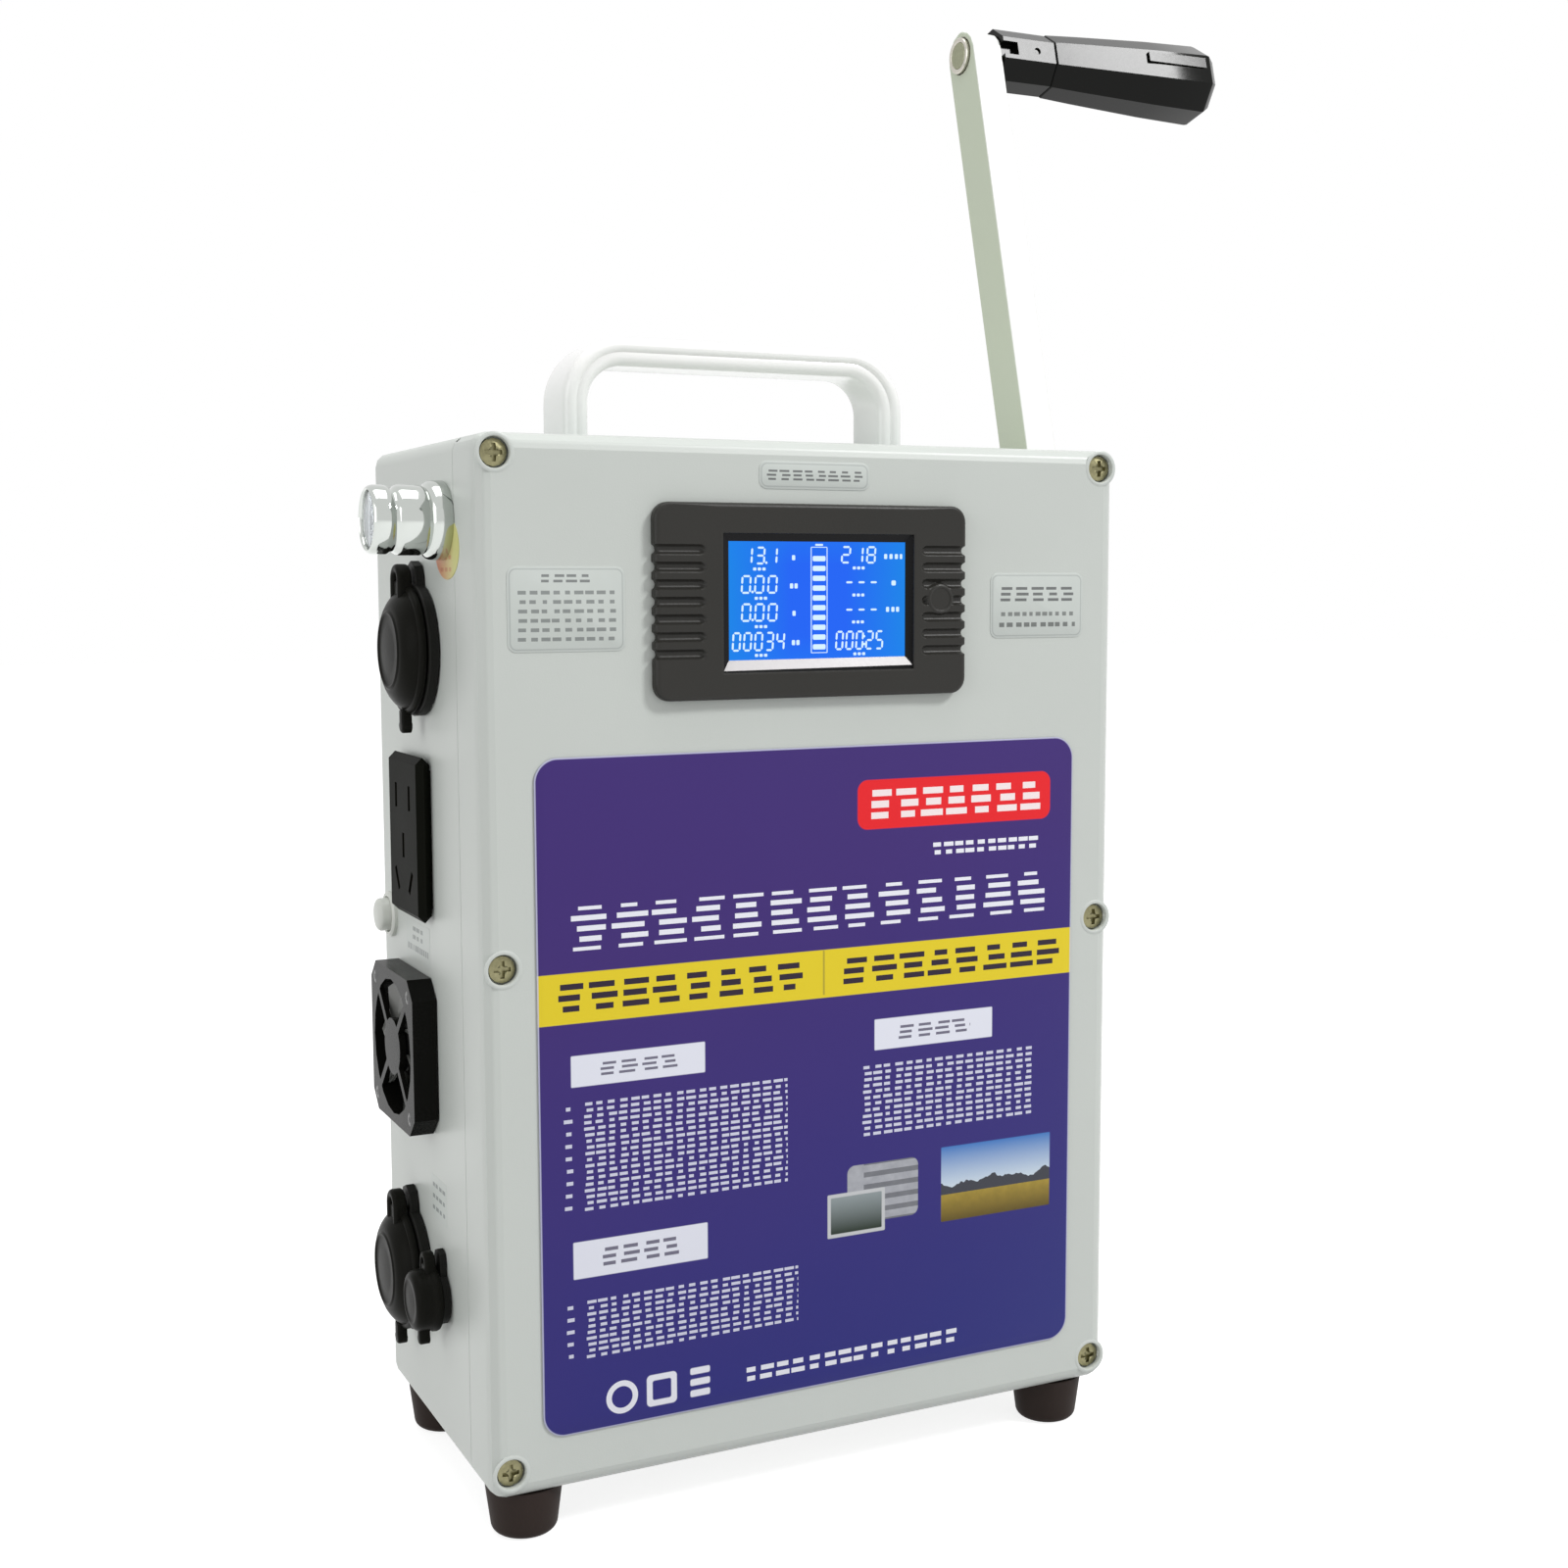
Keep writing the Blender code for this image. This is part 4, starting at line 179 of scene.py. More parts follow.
class Finish(Nodes):
    """A procedural material: a principled shader and the nodes that feed it."""

    def __init__(self, name, colour, roughness, metallic=0.0, **constants):
        self.material = bpy.data.materials.new(name)
        self.material.use_nodes = True
        super().__init__(self.material.node_tree)
        self.shader = self.tree.nodes["Principled BSDF"]
        self.set("Base Color", screen(colour))
        self.set("Roughness", roughness)
        self.set("Metallic", metallic)
        for socket, value in constants.items():
            self.set(socket.replace("_", " "), value)
        self.material.diffuse_color = screen(colour)

    def set(self, socket, value):
        """Give one of the shader's sockets a value or a link."""
        self.join(self.shader.inputs[socket], value)

    def place(self):
        """Object coordinates in case millimetres, as one vector."""
        coordinates = self.node("ShaderNodeTexCoord", {}, {}, "Object")
        shifted = self.node("ShaderNodeVectorMath", {"operation": "SUBTRACT"},
                            {0: coordinates, 1: tuple(ORIGIN)})
        return self.node("ShaderNodeVectorMath", {"operation": "SCALE"}, {0: shifted, "Scale": 1 / MM})

    def axes(self, vector):
        """The three parts of a vector."""
        split = self.tree.nodes.new("ShaderNodeSeparateXYZ")
        self.tree.links.new(vector.socket, split.inputs[0])
        return [Wire(self, socket) for socket in split.outputs]

    def stretch(self, vector, scale):
        """The vector with each part scaled."""
        return self.node("ShaderNodeVectorMath", {"operation": "MULTIPLY"}, {0: vector, 1: scale})

    def noise(self, vector, scale, detail=2.0):
        """Smooth noise about 0.5; scale is in features per millimetre."""
        return self.node("ShaderNodeTexNoise", {}, {"Vector": vector, "Scale": scale, "Detail": detail})

    def blend(self, share, first, second):
        """The first colour where share is 0 and the second where it is 1."""
        made = self.tree.nodes.new("ShaderNodeMix")
        made.data_type = "RGBA"
        for socket, value in zip((made.inputs["Factor"], made.inputs[6], made.inputs[7]),
                                 (share, first, second)):
            self.join(socket, value if isinstance(value, (Wire, float)) else screen(value))
        return Wire(self, made.outputs[2])

    def ramp(self, value, low, high):
        """0 below low, 1 above high and a straight slope between."""
        return self.node("ShaderNodeMapRange", {"clamp": True},
                         {"Value": value, "From Min": low, "From Max": high})

    def bump(self, height, distance):
        """Feed a height into the normal; distance is in millimetres."""
        self.set("Normal", self.node("ShaderNodeBump", {}, {"Strength": 1.0, "Distance": distance * MM,
                                                            "Height": height}))


def tones(colour, shade):
    """A darker and a lighter tone of a colour."""
    return [tuple(min(255, channel * share) for channel in colour) for share in (1 - shade, 1 + shade)]


def moulded(name, colour, roughness, grain, depth, shade=0.04, **constants):
    """Moulded plastic: a fine grained surface, faint broad changes of tone and uneven gloss."""
    finish = Finish(name, colour, roughness, **constants)
    place = finish.place()
    broad = finish.noise(place, 0.03, 3.0)
    fine = finish.noise(place, grain, 2.0)
    finish.set("Base Color", finish.blend(broad, *tones(colour, shade)))
    finish.set("Roughness", roughness + 0.12 * (broad - 0.5) + 0.06 * (fine - 0.5))
    finish.bump(fine, depth)
    return finish


def metal(name, colour, roughness, along, depth=0.01, shade=0.06):
    """Drawn or brushed metal: fine lines that run along one direction, given as a stretch of the noise."""
    finish = Finish(name, colour, roughness, 1.0)
    place = finish.place()
    lines = finish.noise(finish.stretch(place, along), 1.0, 3.0)
    broad = finish.noise(place, 0.05, 2.0)
    finish.set("Base Color", finish.blend(lines, *tones(colour, shade)))
    finish.set("Roughness", roughness + 0.15 * (broad - 0.5) + 0.10 * (lines - 0.5))
    finish.bump(lines, depth)
    return finish


def inside(x, z, left, right, low, high, corner=0.3, soft=0.12):
    """1 inside a rectangle with round corners and 0 outside: distance is the length of the part that
    lies beyond the corner centres, less the corner radius."""
    finish = x.finish
    over_x = ((x - (left + right) / 2).size() - ((right - left) / 2 - corner)).work("MAXIMUM", 0.0)
    over_z = ((z - (low + high) / 2).size() - ((high - low) / 2 - corner)).work("MAXIMUM", 0.0)
    distance = (over_x * over_x + over_z * over_z).work("SQRT") - corner
    return 1 - finish.ramp(distance, -soft, soft)


def dashes(x, z, left, right, low, high, rows, cell, cover=0.5, stripes=1):
    """Rows of plain dashes that fill a rectangle: each row is cut into cells, each cell into stripes, and
    noise sets where the stripes of a cell begin and end."""
    finish = x.finish
    across = (x - left) / cell
    up = (z - low) * (rows * stripes / (high - low))
    column, line = across.work("FLOOR"), up.work("FLOOR")
    spot = finish.node("ShaderNodeCombineXYZ", {}, {0: column, 1: line, 2: float(left)})
    chance = finish.node("ShaderNodeTexWhiteNoise", {"noise_dimensions": "3D"}, {"Vector": spot})
    other = finish.node("ShaderNodeTexWhiteNoise", {"noise_dimensions": "3D"},
                        {"Vector": finish.node("ShaderNodeCombineXYZ", {}, {0: column, 1: line, 2: 7.3})})
    start, end = 0.04 + chance * 0.26, 0.96 - other * 0.30
    share = across - column
    length = (share > start) * (share < end)
    height = ((up - line) - 0.5).size() < cover / 2
    if stripes > 1:
        row = up / stripes
        height = height * ((row - row.work("FLOOR") - 0.5).size() < 0.42)
    box = (x > left) * (x < right) * (z > low) * (z < high)
    return length * height * box


def label_finish():
    """Printed label: a deep field that turns bluer downwards, a red title box, white title marks, a yellow
    band, white headings, rows of dashes, a plain landscape panel, one of plain blocks and three signs."""
    finish = Finish("label_print", (70, 57, 124), 0.33, Specular_IOR_Level=0.15)
    place = finish.place()
    x, _, z = finish.axes(place)
    cloud = finish.noise(place, 0.035, 2.0)
    down = finish.ramp(z + (x * -0.25), 150.0, 5.0)
    field = finish.blend(down, (68, 49, 118), (44, 50, 128))
    field = finish.blend(cloud * 0.2, field, (74, 56, 126))
    white, red, yellow, dark = (240, 241, 250), (236, 44, 50), (242, 218, 38), (52, 42, 58)
    small = (214, 215, 234)

    def over(mask, colour):
        nonlocal field
        field = finish.blend(mask, field, colour)

    over(inside(x, z, 10.8, 71.2, 164.4, 177.6, 3.0), red)
    over(dashes(x, z, 14.0, 68.0, 166.4, 175.6, 1, 7.8, 0.62, 3), (250, 236, 236))
    over(dashes(x, z, 33.6, 67.6, 156.0, 160.2, 1, 3.4, 0.55, 2), white)
    over(dashes(x, z, -70.2, 70.8, 137.6, 150.8, 1, 10.85, 0.50, 5), white)
    over(inside(x, z, -90.0, 90.0, 120.4, 133.2, 0.1), yellow)
    over(dashes(x, z, -74.4, -4.4, 122.8, 131.2, 1, 8.7, 0.56, 3), dark)
    over(dashes(x, z, 5.8, 75.0, 122.8, 131.0, 1, 8.7, 0.56, 3), dark)
    over(inside(x, z, 0.5, 1.0, 121.2, 133.0, 0.1), (176, 160, 60))
    for left, right, low, high in ((-70.1, -33.6, 104.2, 112.2), (16.0, 52.9, 104.6, 113.0),
                                   (-70.1, -33.2, 54.8, 64.4)):
        over(inside(x, z, left, right, low, high, 0.3), (234, 236, 247))
        over(dashes(x, z, left + 7.0, right - 7.0, low + 2.0, high - 2.0, 1, 5.6, 0.5, 3),
             (120, 118, 136))
    for block in ((-72.3, -69.6, 71.8, 100.4, 9, 2.7, 0.30), (-67.0, -10.0, 71.8, 100.4, 9, 3.1, 0.50, 2),
                  (12.2, 66.0, 81.0, 101.0, 6, 3.2, 0.50, 2), (-72.4, -69.8, 33.4, 49.2, 5, 2.6, 0.30),
                  (-67.0, -7.0, 33.4, 49.2, 5, 3.1, 0.50, 2)):
        over(dashes(x, z, *block), small)
    over(dashes(x, z, -23.4, 43.0, 19.0, 23.8, 1, 4.7, 0.55, 2), white)
    over(*landscape_card(finish, x, z, 36.9, 72.3, 54.2, 75.2))
    over(*block_card(finish, x, z, 1.8, 29.6, 54.6, 74.2))
    ring = ((x + 57.4) * (x + 57.4) + (z - 21.9) * (z - 21.9)).work("SQRT") - 3.6
    over(ring.size() < 0.75, white)
    over((inside(x, z, -50.6, -42.2, 17.8, 26.2, 1.2) - inside(x, z, -49.0, -43.8, 19.4, 24.6, 0.6)).clip(),
         white)
    for low in (18.2, 21.2, 24.2):
        over(inside(x, z, -38.4, -32.8, low, low + 1.8, 0.5), white)
    # painted highlight: a pale lilac band along the label's edge
    low, high = LABEL_LOW, LABEL_HIGH
    edge_highlight = 1 - inside(x, z, low[0] + 0.35, high[0] - 0.35, low[2] + 0.35, high[2] - 0.35, 5.7, 0.1)
    over(edge_highlight * 0.8, (206, 207, 232))
    fade = finish.noise(place, 0.6, 2.0)
    finish.set("Base Color", field)
    finish.set("Roughness", 0.30 + 0.08 * fade)
    finish.bump(fade, 0.006)
    return finish


def landscape_card(finish, x, z, left, right, low, high):
    """A plain landscape panel: pale sky over dark hills and a dry yellow plain."""
    share = (z - low) / (high - low)
    along = finish.node("ShaderNodeCombineXYZ", {}, {0: x, 1: 0.0, 2: 0.0})
    ridge = finish.noise(along, 0.16, 3.0)
    grain = finish.noise(finish.place(), 0.5, 3.0)
    sky = finish.blend(finish.ramp(share, 0.45, 1.0), (214, 228, 240), (74, 128, 200))
    ground = finish.blend(finish.ramp(share, 0.0, 0.4), (92, 74, 34), (196, 168, 74))
    ground = finish.blend(grain * 0.6, ground, (116, 104, 50))
    hills = (share < 0.30 + ridge * 0.40) * (share > 0.36)
    picture = finish.blend(share > 0.40, ground, sky)
    picture = finish.blend(hills, picture, (70, 72, 80))
    return inside(x, z, left, right, low, high, 0.3), picture


def block_card(finish, x, z, left, right, low, high):
    """Two overlapping plain panels: pale blocks behind, and a dark green one in front."""
    grain = finish.noise(finish.place(), 0.35, 3.0)
    back = inside(x, z, left + 6.0, right, low + 3.0, high - 0.5, 2.2)
    stripes = ((z * 0.30).work("FRACT") < 0.42) * (x > left + 11.0)
    pale = finish.blend(grain, (196, 198, 204), (150, 152, 160))
    pale = finish.blend(stripes * 0.7, pale, (92, 94, 100))
    front = inside(x, z, left, left + 17.5, low, low + 12.0, 0.4)
    share = finish.ramp(z, low + 1.0, low + 10.5)
    dark = finish.blend(share, (40, 52, 40), (148, 158, 160))
    frame_mask = inside(x, z, left + 1.0, left + 16.5, low + 1.0, low + 11.0, 0.3)
    card = finish.blend(frame_mask, (206, 208, 210), dark)
    return (back + front).clip(), finish.blend(front, pale, card)


def note_finish():
    """Paper notes: the case's colour, a thin grey frame and rows of grey dashes."""
    finish = Finish("note_paper", (200, 206, 202), 0.45)
    place = finish.place()
    x, _, z = finish.axes(place)
    colour = finish.blend(finish.noise(place, 0.2, 2.0), (200, 206, 201), (205, 211, 207))
    grey, dark = (150, 156, 154), (74, 76, 78)
    for left, right, low, high in NOTES.values():
        edge = inside(x, z, left + 0.5, right - 0.5, low + 0.5, high - 0.5, 1.8)
        inner = inside(x, z, left + 0.8, right - 0.8, low + 0.8, high - 0.8, 1.5)
        colour = finish.blend((edge - inner).clip() * 0.55, colour, grey)
    rows = ((NOTES["top_strip"], (2.0, 2.0, 2.0, 2.0), 1, 3.5, 0.5, 3, dark),
            (NOTES["left_note"], (8.0, 9.0, 16.6, 1.6), 1, 3.4, 0.5, 2, (100, 104, 104)),
            (NOTES["left_note"], (2.4, 2.4, 2.0, 5.2), 6, 2.9, 0.40, 1, (122, 127, 126)),
            (NOTES["right_note"], (2.4, 2.4, 9.6, 3.4), 1, 5.0, 0.5, 3, dark),
            (NOTES["right_note"], (3.0, 3.0, 5.6, 10.2), 1, 2.2, 0.6, 1, (110, 114, 112)),
            (NOTES["right_note"], (2.4, 2.4, 2.4, 12.8), 1, 2.6, 0.5, 1, (90, 94, 92)))
    for (left, right, low, high), (inset, outset, rise, drop), count, cell, cover, stripes, ink in rows:
        mask = dashes(x, z, left + inset, right - outset, low + rise, high - drop, count, cell, cover,
                      stripes)
        colour = finish.blend(mask * 0.85, colour, ink)
    finish.set("Base Color", colour)
    return finish


def wall_print_finish():
    """Print on the left wall: the case's colour with small dark dashes."""
    finish = Finish("wall_print", (203, 209, 204), 0.38)
    place = finish.place()
    _, y, z = finish.axes(place)
    colour = (203, 209, 204)
    front, rear, low, high = WALL_PRINTS["outlet_print"]
    rows = ((front + 6, rear - 6, high - 5.6, high - 1.0, 1, 3.6, 0.5, 2),
            (front + 1, rear - 1, low + 2.0, low + 4.4, 1, 1.9, 0.7, 1))
    front, rear, low, high = WALL_PRINTS["socket_print"]
    rows += ((front + 1, rear - 1, low + 1.0, high - 1.0, 3, 3.1, 0.34, 1),)
    for left, right, bottom, top, count, cell, cover, stripes in rows:
        mask = dashes(y, z, left, right, bottom, top, count, cell, cover, stripes)
        colour = finish.blend(mask * 0.7, colour, (96, 104, 104))
    finish.set("Base Color", colour)
    return finish


def sticker_finish():
    """Oval sticker: orange at its rear, yellow-green at its front edge, with small dark dashes."""
    finish = Finish("side_sticker", (226, 178, 120), 0.4)
    place = finish.place()
    _, y, z = finish.axes(place)
    colour = finish.blend(finish.ramp(y, 31.0, 18.0), (226, 160, 128), (206, 204, 128))
    mask = dashes(y, z, 19.5, 29.5, 231.5, 243.5, 4, 3.4, 0.34)
    colour = finish.blend(mask * 0.5, colour, (190, 92, 70))
    finish.set("Base Color", colour)
    return finish


def display_finish():
    """Lit display: bright blue that is deeper at its middle and greener at its sides."""
    finish = Finish("lit_display", (4, 20, 60), 0.16, Specular_IOR_Level=0.12)
    place = finish.place()
    x, _, z = finish.axes(place)
    side = finish.ramp((x + 1.1).size(), 8.0, 27.0)
    shade = finish.blend(side, (28, 98, 240), (14, 132, 226))
    shade = finish.blend(finish.ramp((z - 225.0).size(), 9.0, 17.0) * 0.5, shade, (18, 124, 236))
    finish.set("Emission Color", shade)
    finish.set("Emission Strength", 1.0)
    return finish


def arm_finish():
    """Crank arm: satin paint, with painted shade that makes the wide side faces greyer than the narrow ones.
    """
    finish = Finish("painted_arm", (236, 238, 234), 0.34)
    place = finish.place()
    low, high = limits("crank_arm")
    across = finish.axes(place)[0] - (low[0] + high[0]) / 2
    half = (high[0] - low[0]) / 2
    broad = finish.noise(place, 0.05, 3.0)
    # painted shade: the wide side faces, at the ends of the arm's width, get a greyer colour than the narrow
    # faces
    colour = finish.blend(finish.ramp(across.size(), half - 0.3, half - 0.05), (244, 245, 243),
                          (202, 212, 188))
    finish.set("Base Color", finish.blend(broad * 0.2, colour, (206, 210, 204)))
    finish.set("Roughness", 0.30 + 0.10 * broad)
    return finish


def handle_finish():
    """Carrying handle: glossy white enamel, with painted shade that makes it greyer down the legs."""
    finish = Finish("handle_enamel", (248, 248, 246), 0.20, Coat_Weight=0.6, Coat_Roughness=0.12)
    place = finish.place()
    broad = finish.noise(place, 0.03, 3.0)
    # painted shade: the colour turns greyer down the legs, below the bar
    leg_shade_share = finish.ramp(finish.axes(place)[2], 268.0, 287.0)
    finish.set("Base Color", finish.blend(leg_shade_share, (222, 226, 223), (250, 250, 248)))
    finish.set("Roughness", 0.16 + 0.10 * broad)
    return finish


def make_finishes():
    """Every finish on the object, by name."""
    return {
        "case": moulded("case_plastic", (206, 211, 206), 0.38, 2.2, 0.02, 0.012),
        "black": moulded("black_plastic", (30, 30, 28), 0.42, 1.6, 0.03, Specular_IOR_Level=0.08),
        "gloss_black": moulded("gloss_black_plastic", (9, 10, 7), 0.12, 0.7, 0.0006,
                               Specular_IOR_Level=0.12),
        "rubber": moulded("rubber", (25, 25, 22), 0.34, 1.2, 0.02, 0.08, Specular_IOR_Level=0.03),
        "foot_rubber": moulded("foot_rubber", (52, 44, 41), 0.55, 1.0, 0.04, 0.14, Specular_IOR_Level=0.08),
        "white": moulded("white_plastic", (214, 217, 210), 0.35, 1.0, 0.01),
        "bezel": moulded("bezel_plastic", (44, 43, 40), 0.38, 1.8, 0.04, Specular_IOR_Level=0.25),
        "surround": moulded("display_surround", (10, 10, 12), 0.40, 1.0, 0.01, Specular_IOR_Level=0.15),
        "sill": moulded("display_sill", (190, 186, 186), 0.35, 1.0, 0.01),
        "outlet": moulded("outlet_plastic", (20, 21, 17), 0.40, 1.2, 0.01, Specular_IOR_Level=0.01),
        "fan_black": moulded("fan_plastic", (18, 18, 16), 0.26, 1.0, 0.01, Specular_IOR_Level=0.045),
        # painted highlight: the fan blades are a lighter grey so that they show as glints inside the shaded
        # fan
        "fan_blade_painted_glint": moulded("fan_wheel", (112, 113, 110), 0.22, 1.0, 0.01),
        "fan_hub": moulded("fan_hub", (26, 26, 25), 0.26, 1.0, 0.01, Specular_IOR_Level=0.06),
        "lit": Finish("lit_figures", (60, 70, 80), 0.4, Emission_Color=screen((206, 232, 255)),
                      Emission_Strength=1.0),
        "glass": display_finish(),
        "label": label_finish(),
        "note": note_finish(),
        "wall_print": wall_print_finish(),
        "sticker": sticker_finish(),
        "aluminium": metal("satin_aluminium", (226, 228, 230), 0.34, (0.15, 3.0, 3.0)),
        "handle": handle_finish(),
        "arm": arm_finish(),
        "nut": metal("polished_nut", (196, 192, 182), 0.22, (1.0, 1.0, 1.0)),
        "zinc": metal("plated_screw", (134, 130, 100), 0.36, (1.2, 1.2, 1.2), 0.02, 0.16),
        "spindle_end": metal("spindle_end", (146, 148, 124), 0.34, (1.2, 1.2, 1.2), 0.02, 0.12),
        "chrome": metal("chrome", (196, 200, 196), 0.08, (0.4, 0.4, 0.4), 0.002, 0.01),
        "steel": metal("machined_steel", (188, 189, 190), 0.36, (2.0, 0.5, 0.5)),
        "brass": metal("brass", (205, 165, 92), 0.32, (1.5, 1.5, 1.5)),
        "bronze": metal("bush_bronze", (150, 132, 104), 0.42, (1.5, 1.5, 1.5)),
        "lens": Finish("lamp_lens", (226, 232, 236), 0.06, Transmission_Weight=0.9, IOR=1.46),
        "magnet": metal("magnet", (90, 90, 92), 0.5, (1.0, 1.0, 1.0)),
        "wrap": moulded("battery_wrap", (52, 92, 158), 0.30, 0.5, 0.02, 0.05),
        "board": moulded("circuit_board", (30, 96, 56), 0.40, 0.8, 0.02, 0.10),
    }


def new_object(name, data):
    """A new object in the scene that shows the data."""
    made = bpy.data.objects.new(name, data)
    bpy.context.scene.collection.objects.link(made)
    return made


def stand(thing, right, up, back, place):
    """Turn and place an object by its three directions and its place."""
    matrix = np.eye(4)
    matrix[:3] = np.column_stack((right, up, back, place))
    thing.matrix_world = Matrix(matrix.tolist())


def build(name, skins, body, finish, replaced=(), sharp=32):
    """One piece from its skins, pairs of points in case millimetres and faces, on a body."""
    points, faces, count = [], [], 0
    for skin_points, skin_faces in skins:
        points.append(np.asarray(skin_points, float).reshape(-1, 3))
        faces += [[corner + count for corner in face] for face in skin_faces]
        count += len(points[-1])
    mesh = bpy.data.meshes.new(name)
    mesh.from_pydata((np.vstack(points) * MM + ORIGIN).tolist(), [], faces)
    work = bmesh.new()
    work.from_mesh(mesh)
    bmesh.ops.remove_doubles(work, verts=work.verts, dist=1e-7)
    bmesh.ops.recalc_face_normals(work, faces=work.faces)
    work.to_mesh(mesh)
    work.free()
    made = new_object(name, mesh)
    mesh.shade_smooth()
    mesh.set_sharp_from_angle(angle=math.radians(sharp))
    return dress(made, body, finish, replaced)


def dress(made, body, finish, replaced=()):
    """Give a piece its finish and its body, and hide the nodes it stands for."""
    made.data.materials.clear()
    made.data.materials.append(FINISHES[finish].material)
    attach(made, body)
    if replaced:
        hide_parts(*replaced)
    return made


def softened(node, finish, body="case", sharp=32, edge=0.0):
    """A CAD node's shape with its doubles merged, smooth over its rounded edges and flat between."""
    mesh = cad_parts[node].data.copy()
    work = bmesh.new()
    work.from_mesh(mesh)
    bmesh.ops.remove_doubles(work, verts=work.verts, dist=1e-7)
    bmesh.ops.dissolve_limit(work, angle_limit=math.radians(1), verts=work.verts, edges=work.edges)
    work.to_mesh(mesh)
    work.free()
    made = new_object(f"{node}_surface", mesh)
    mesh.shade_smooth()
    mesh.set_sharp_from_angle(angle=math.radians(sharp))
    if edge:
        bevel = made.modifiers.new("edge", "BEVEL")
        bevel.width = edge * MM
        bevel.segments = 2
        bevel.limit_method = "ANGLE"
        bevel.angle_limit = math.radians(sharp)
        bevel.harden_normals = False
    weighted = made.modifiers.new("even shading", "WEIGHTED_NORMAL")
    weighted.keep_sharp = True
    return dress(made, body, finish, (node,))


def skin(rings, wrap=False, caps=True):
    """Quads between neighbouring rings, given as rings x points x 3; flat caps close the two ends, or the
    last ring joins the first."""
    rings = np.asarray(rings, float)
    rows, columns = rings.shape[:2]
    index = np.arange(rows * columns).reshape(rows, columns)
    lower = index if wrap else index[:-1]
    upper = np.roll(index, -1, axis=0) if wrap else index[1:]
    quads = np.stack((lower, np.roll(lower, -1, axis=1), np.roll(upper, -1, axis=1), upper), axis=-1)
    faces = quads.reshape(-1, 4).tolist()
    if caps and not wrap:
        faces += [index[0].tolist(), index[-1].tolist()]
    return rings.reshape(-1, 3), faces


def turned(profile, centre, wall, steps=64, **ends):
    """A profile of radius and height spun about a wall's outward axis: x = r cos a, y = r sin a, z = h."""
    profile = np.asarray(profile, float)
    angle = np.linspace(0, 2 * np.pi, steps, endpoint=False)
    local = np.stack((profile[:, :1] * np.cos(angle), profile[:, :1] * np.sin(angle),
                      np.repeat(profile[:, 1:], steps, axis=1)), axis=-1)
    return skin(local @ wall + np.asarray(centre, float), **ends)


def corner_arc(centre, radius, start, end, steps=6):
    """Points of an arc in a profile, angles in degrees."""
    angle = np.radians(np.linspace(start, end, steps + 1))
    return np.stack((centre[0] + radius * np.cos(angle), centre[1] + radius * np.sin(angle)), axis=-1)


def box_outline(wide, tall, corner, steps=8):
    """A rectangle about 0,0 with round corners, as points in order."""
    half_wide, half_tall = wide / 2 - corner, tall / 2 - corner
    centres = ((half_wide, half_tall, 0), (-half_wide, half_tall, 90), (-half_wide, -half_tall, 180),
               (half_wide, -half_tall, 270))
    return np.vstack([corner_arc((x, y), corner, start, start + 90, steps) for x, y, start in centres])


def plate(outline, low, high, centre, wall, edge=0.0, steps=4):
    """An outline raised between two heights on a wall, with its outer edge rounded inward by edge: ring k
    lies in by edge (1 - cos a) at height high - edge (1 - sin a)."""
    outline = np.asarray(outline, float)
    before, after = np.roll(outline, 1, axis=0), np.roll(outline, -1, axis=0)
    into, out = outline - before, after - outline
    into /= np.linalg.norm(into, axis=1, keepdims=True)
    out /= np.linalg.norm(out, axis=1, keepdims=True)
    bisector = np.stack((-(into[:, 1] + out[:, 1]), into[:, 0] + out[:, 0]), axis=-1)
    bisector /= np.maximum(1e-9, (bisector ** 2).sum(axis=1, keepdims=True) / 2)
    rings = [(0.0, low), (0.0, high - edge)]
    for step in range(1, steps + 1 if edge else 1):
        angle = math.pi / 2 * step / steps
        rings.append((edge * (1 - math.cos(angle)), high - edge * (1 - math.sin(angle))))
    local = np.array([np.column_stack((outline + bisector * inset, np.full(len(outline), height)))
                      for inset, height in rings])
    return skin(local @ wall + np.asarray(centre, float))


def finish_shells():
    """The two case shells and their seal, and a soft raised rim round each screw recess."""
    softened("front_cover", "case", edge=0.35)
    softened("case_body", "case", edge=0.35)
    softened("cover_seal", "rubber")
    rims = []
    for number in range(1, 7):
        x, _, z = middle(f"cover_screw_{number}")
        profile = [(4.9, -0.2), (4.9, 0.02), (4.6, 0.16), (4.2, 0.22), (3.95, 0.14), (3.8, -0.1),
                   (3.75, -0.6), (3.75, -1.0)]
        rims.append(turned(profile, (x, 0, z), FRONT_WALL, 40, caps=False))
    build("screw_recess_rims", rims, "case", "case")
    for number in range(1, 7):
        softened(f"cover_screw_{number}", "zinc")


def finish_feet():
    """Tapered rubber feet with a rounded lower edge and a screw sunk in each."""
    for number in range(1, 5):
        low, high = limits(f"foot_{number}")
        x, y = middle(f"foot_{number}")[:2]
        top, height = (high[0] - low[0]) / 2, high[2] - low[2]
        tip, rounding = 0.87 * top, 2.4
        profile = [(top, 0), (top, 0.8)]
        profile += corner_arc((tip - rounding, height - rounding), rounding, 5, 90, 8).tolist()
        profile += [(3.6, height), (3.3, height - 0.4), (3.2, height - 4)]
        build(f"rubber_foot_{number}", [turned(profile, (x, y, high[2]), FLOOR_WALL, 56)], "case",
              "foot_rubber", (f"foot_{number}",))
        head = [(3.0, height - 4.2), (3.0, height - 3.2), (2.6, height - 2.8), (0.9, height - 2.5),
                (0.8, height - 3.4)]
        build(f"foot_screw_{number}", [turned(head, (x, y, high[2]), FLOOR_WALL, 32)], "case", "zinc")


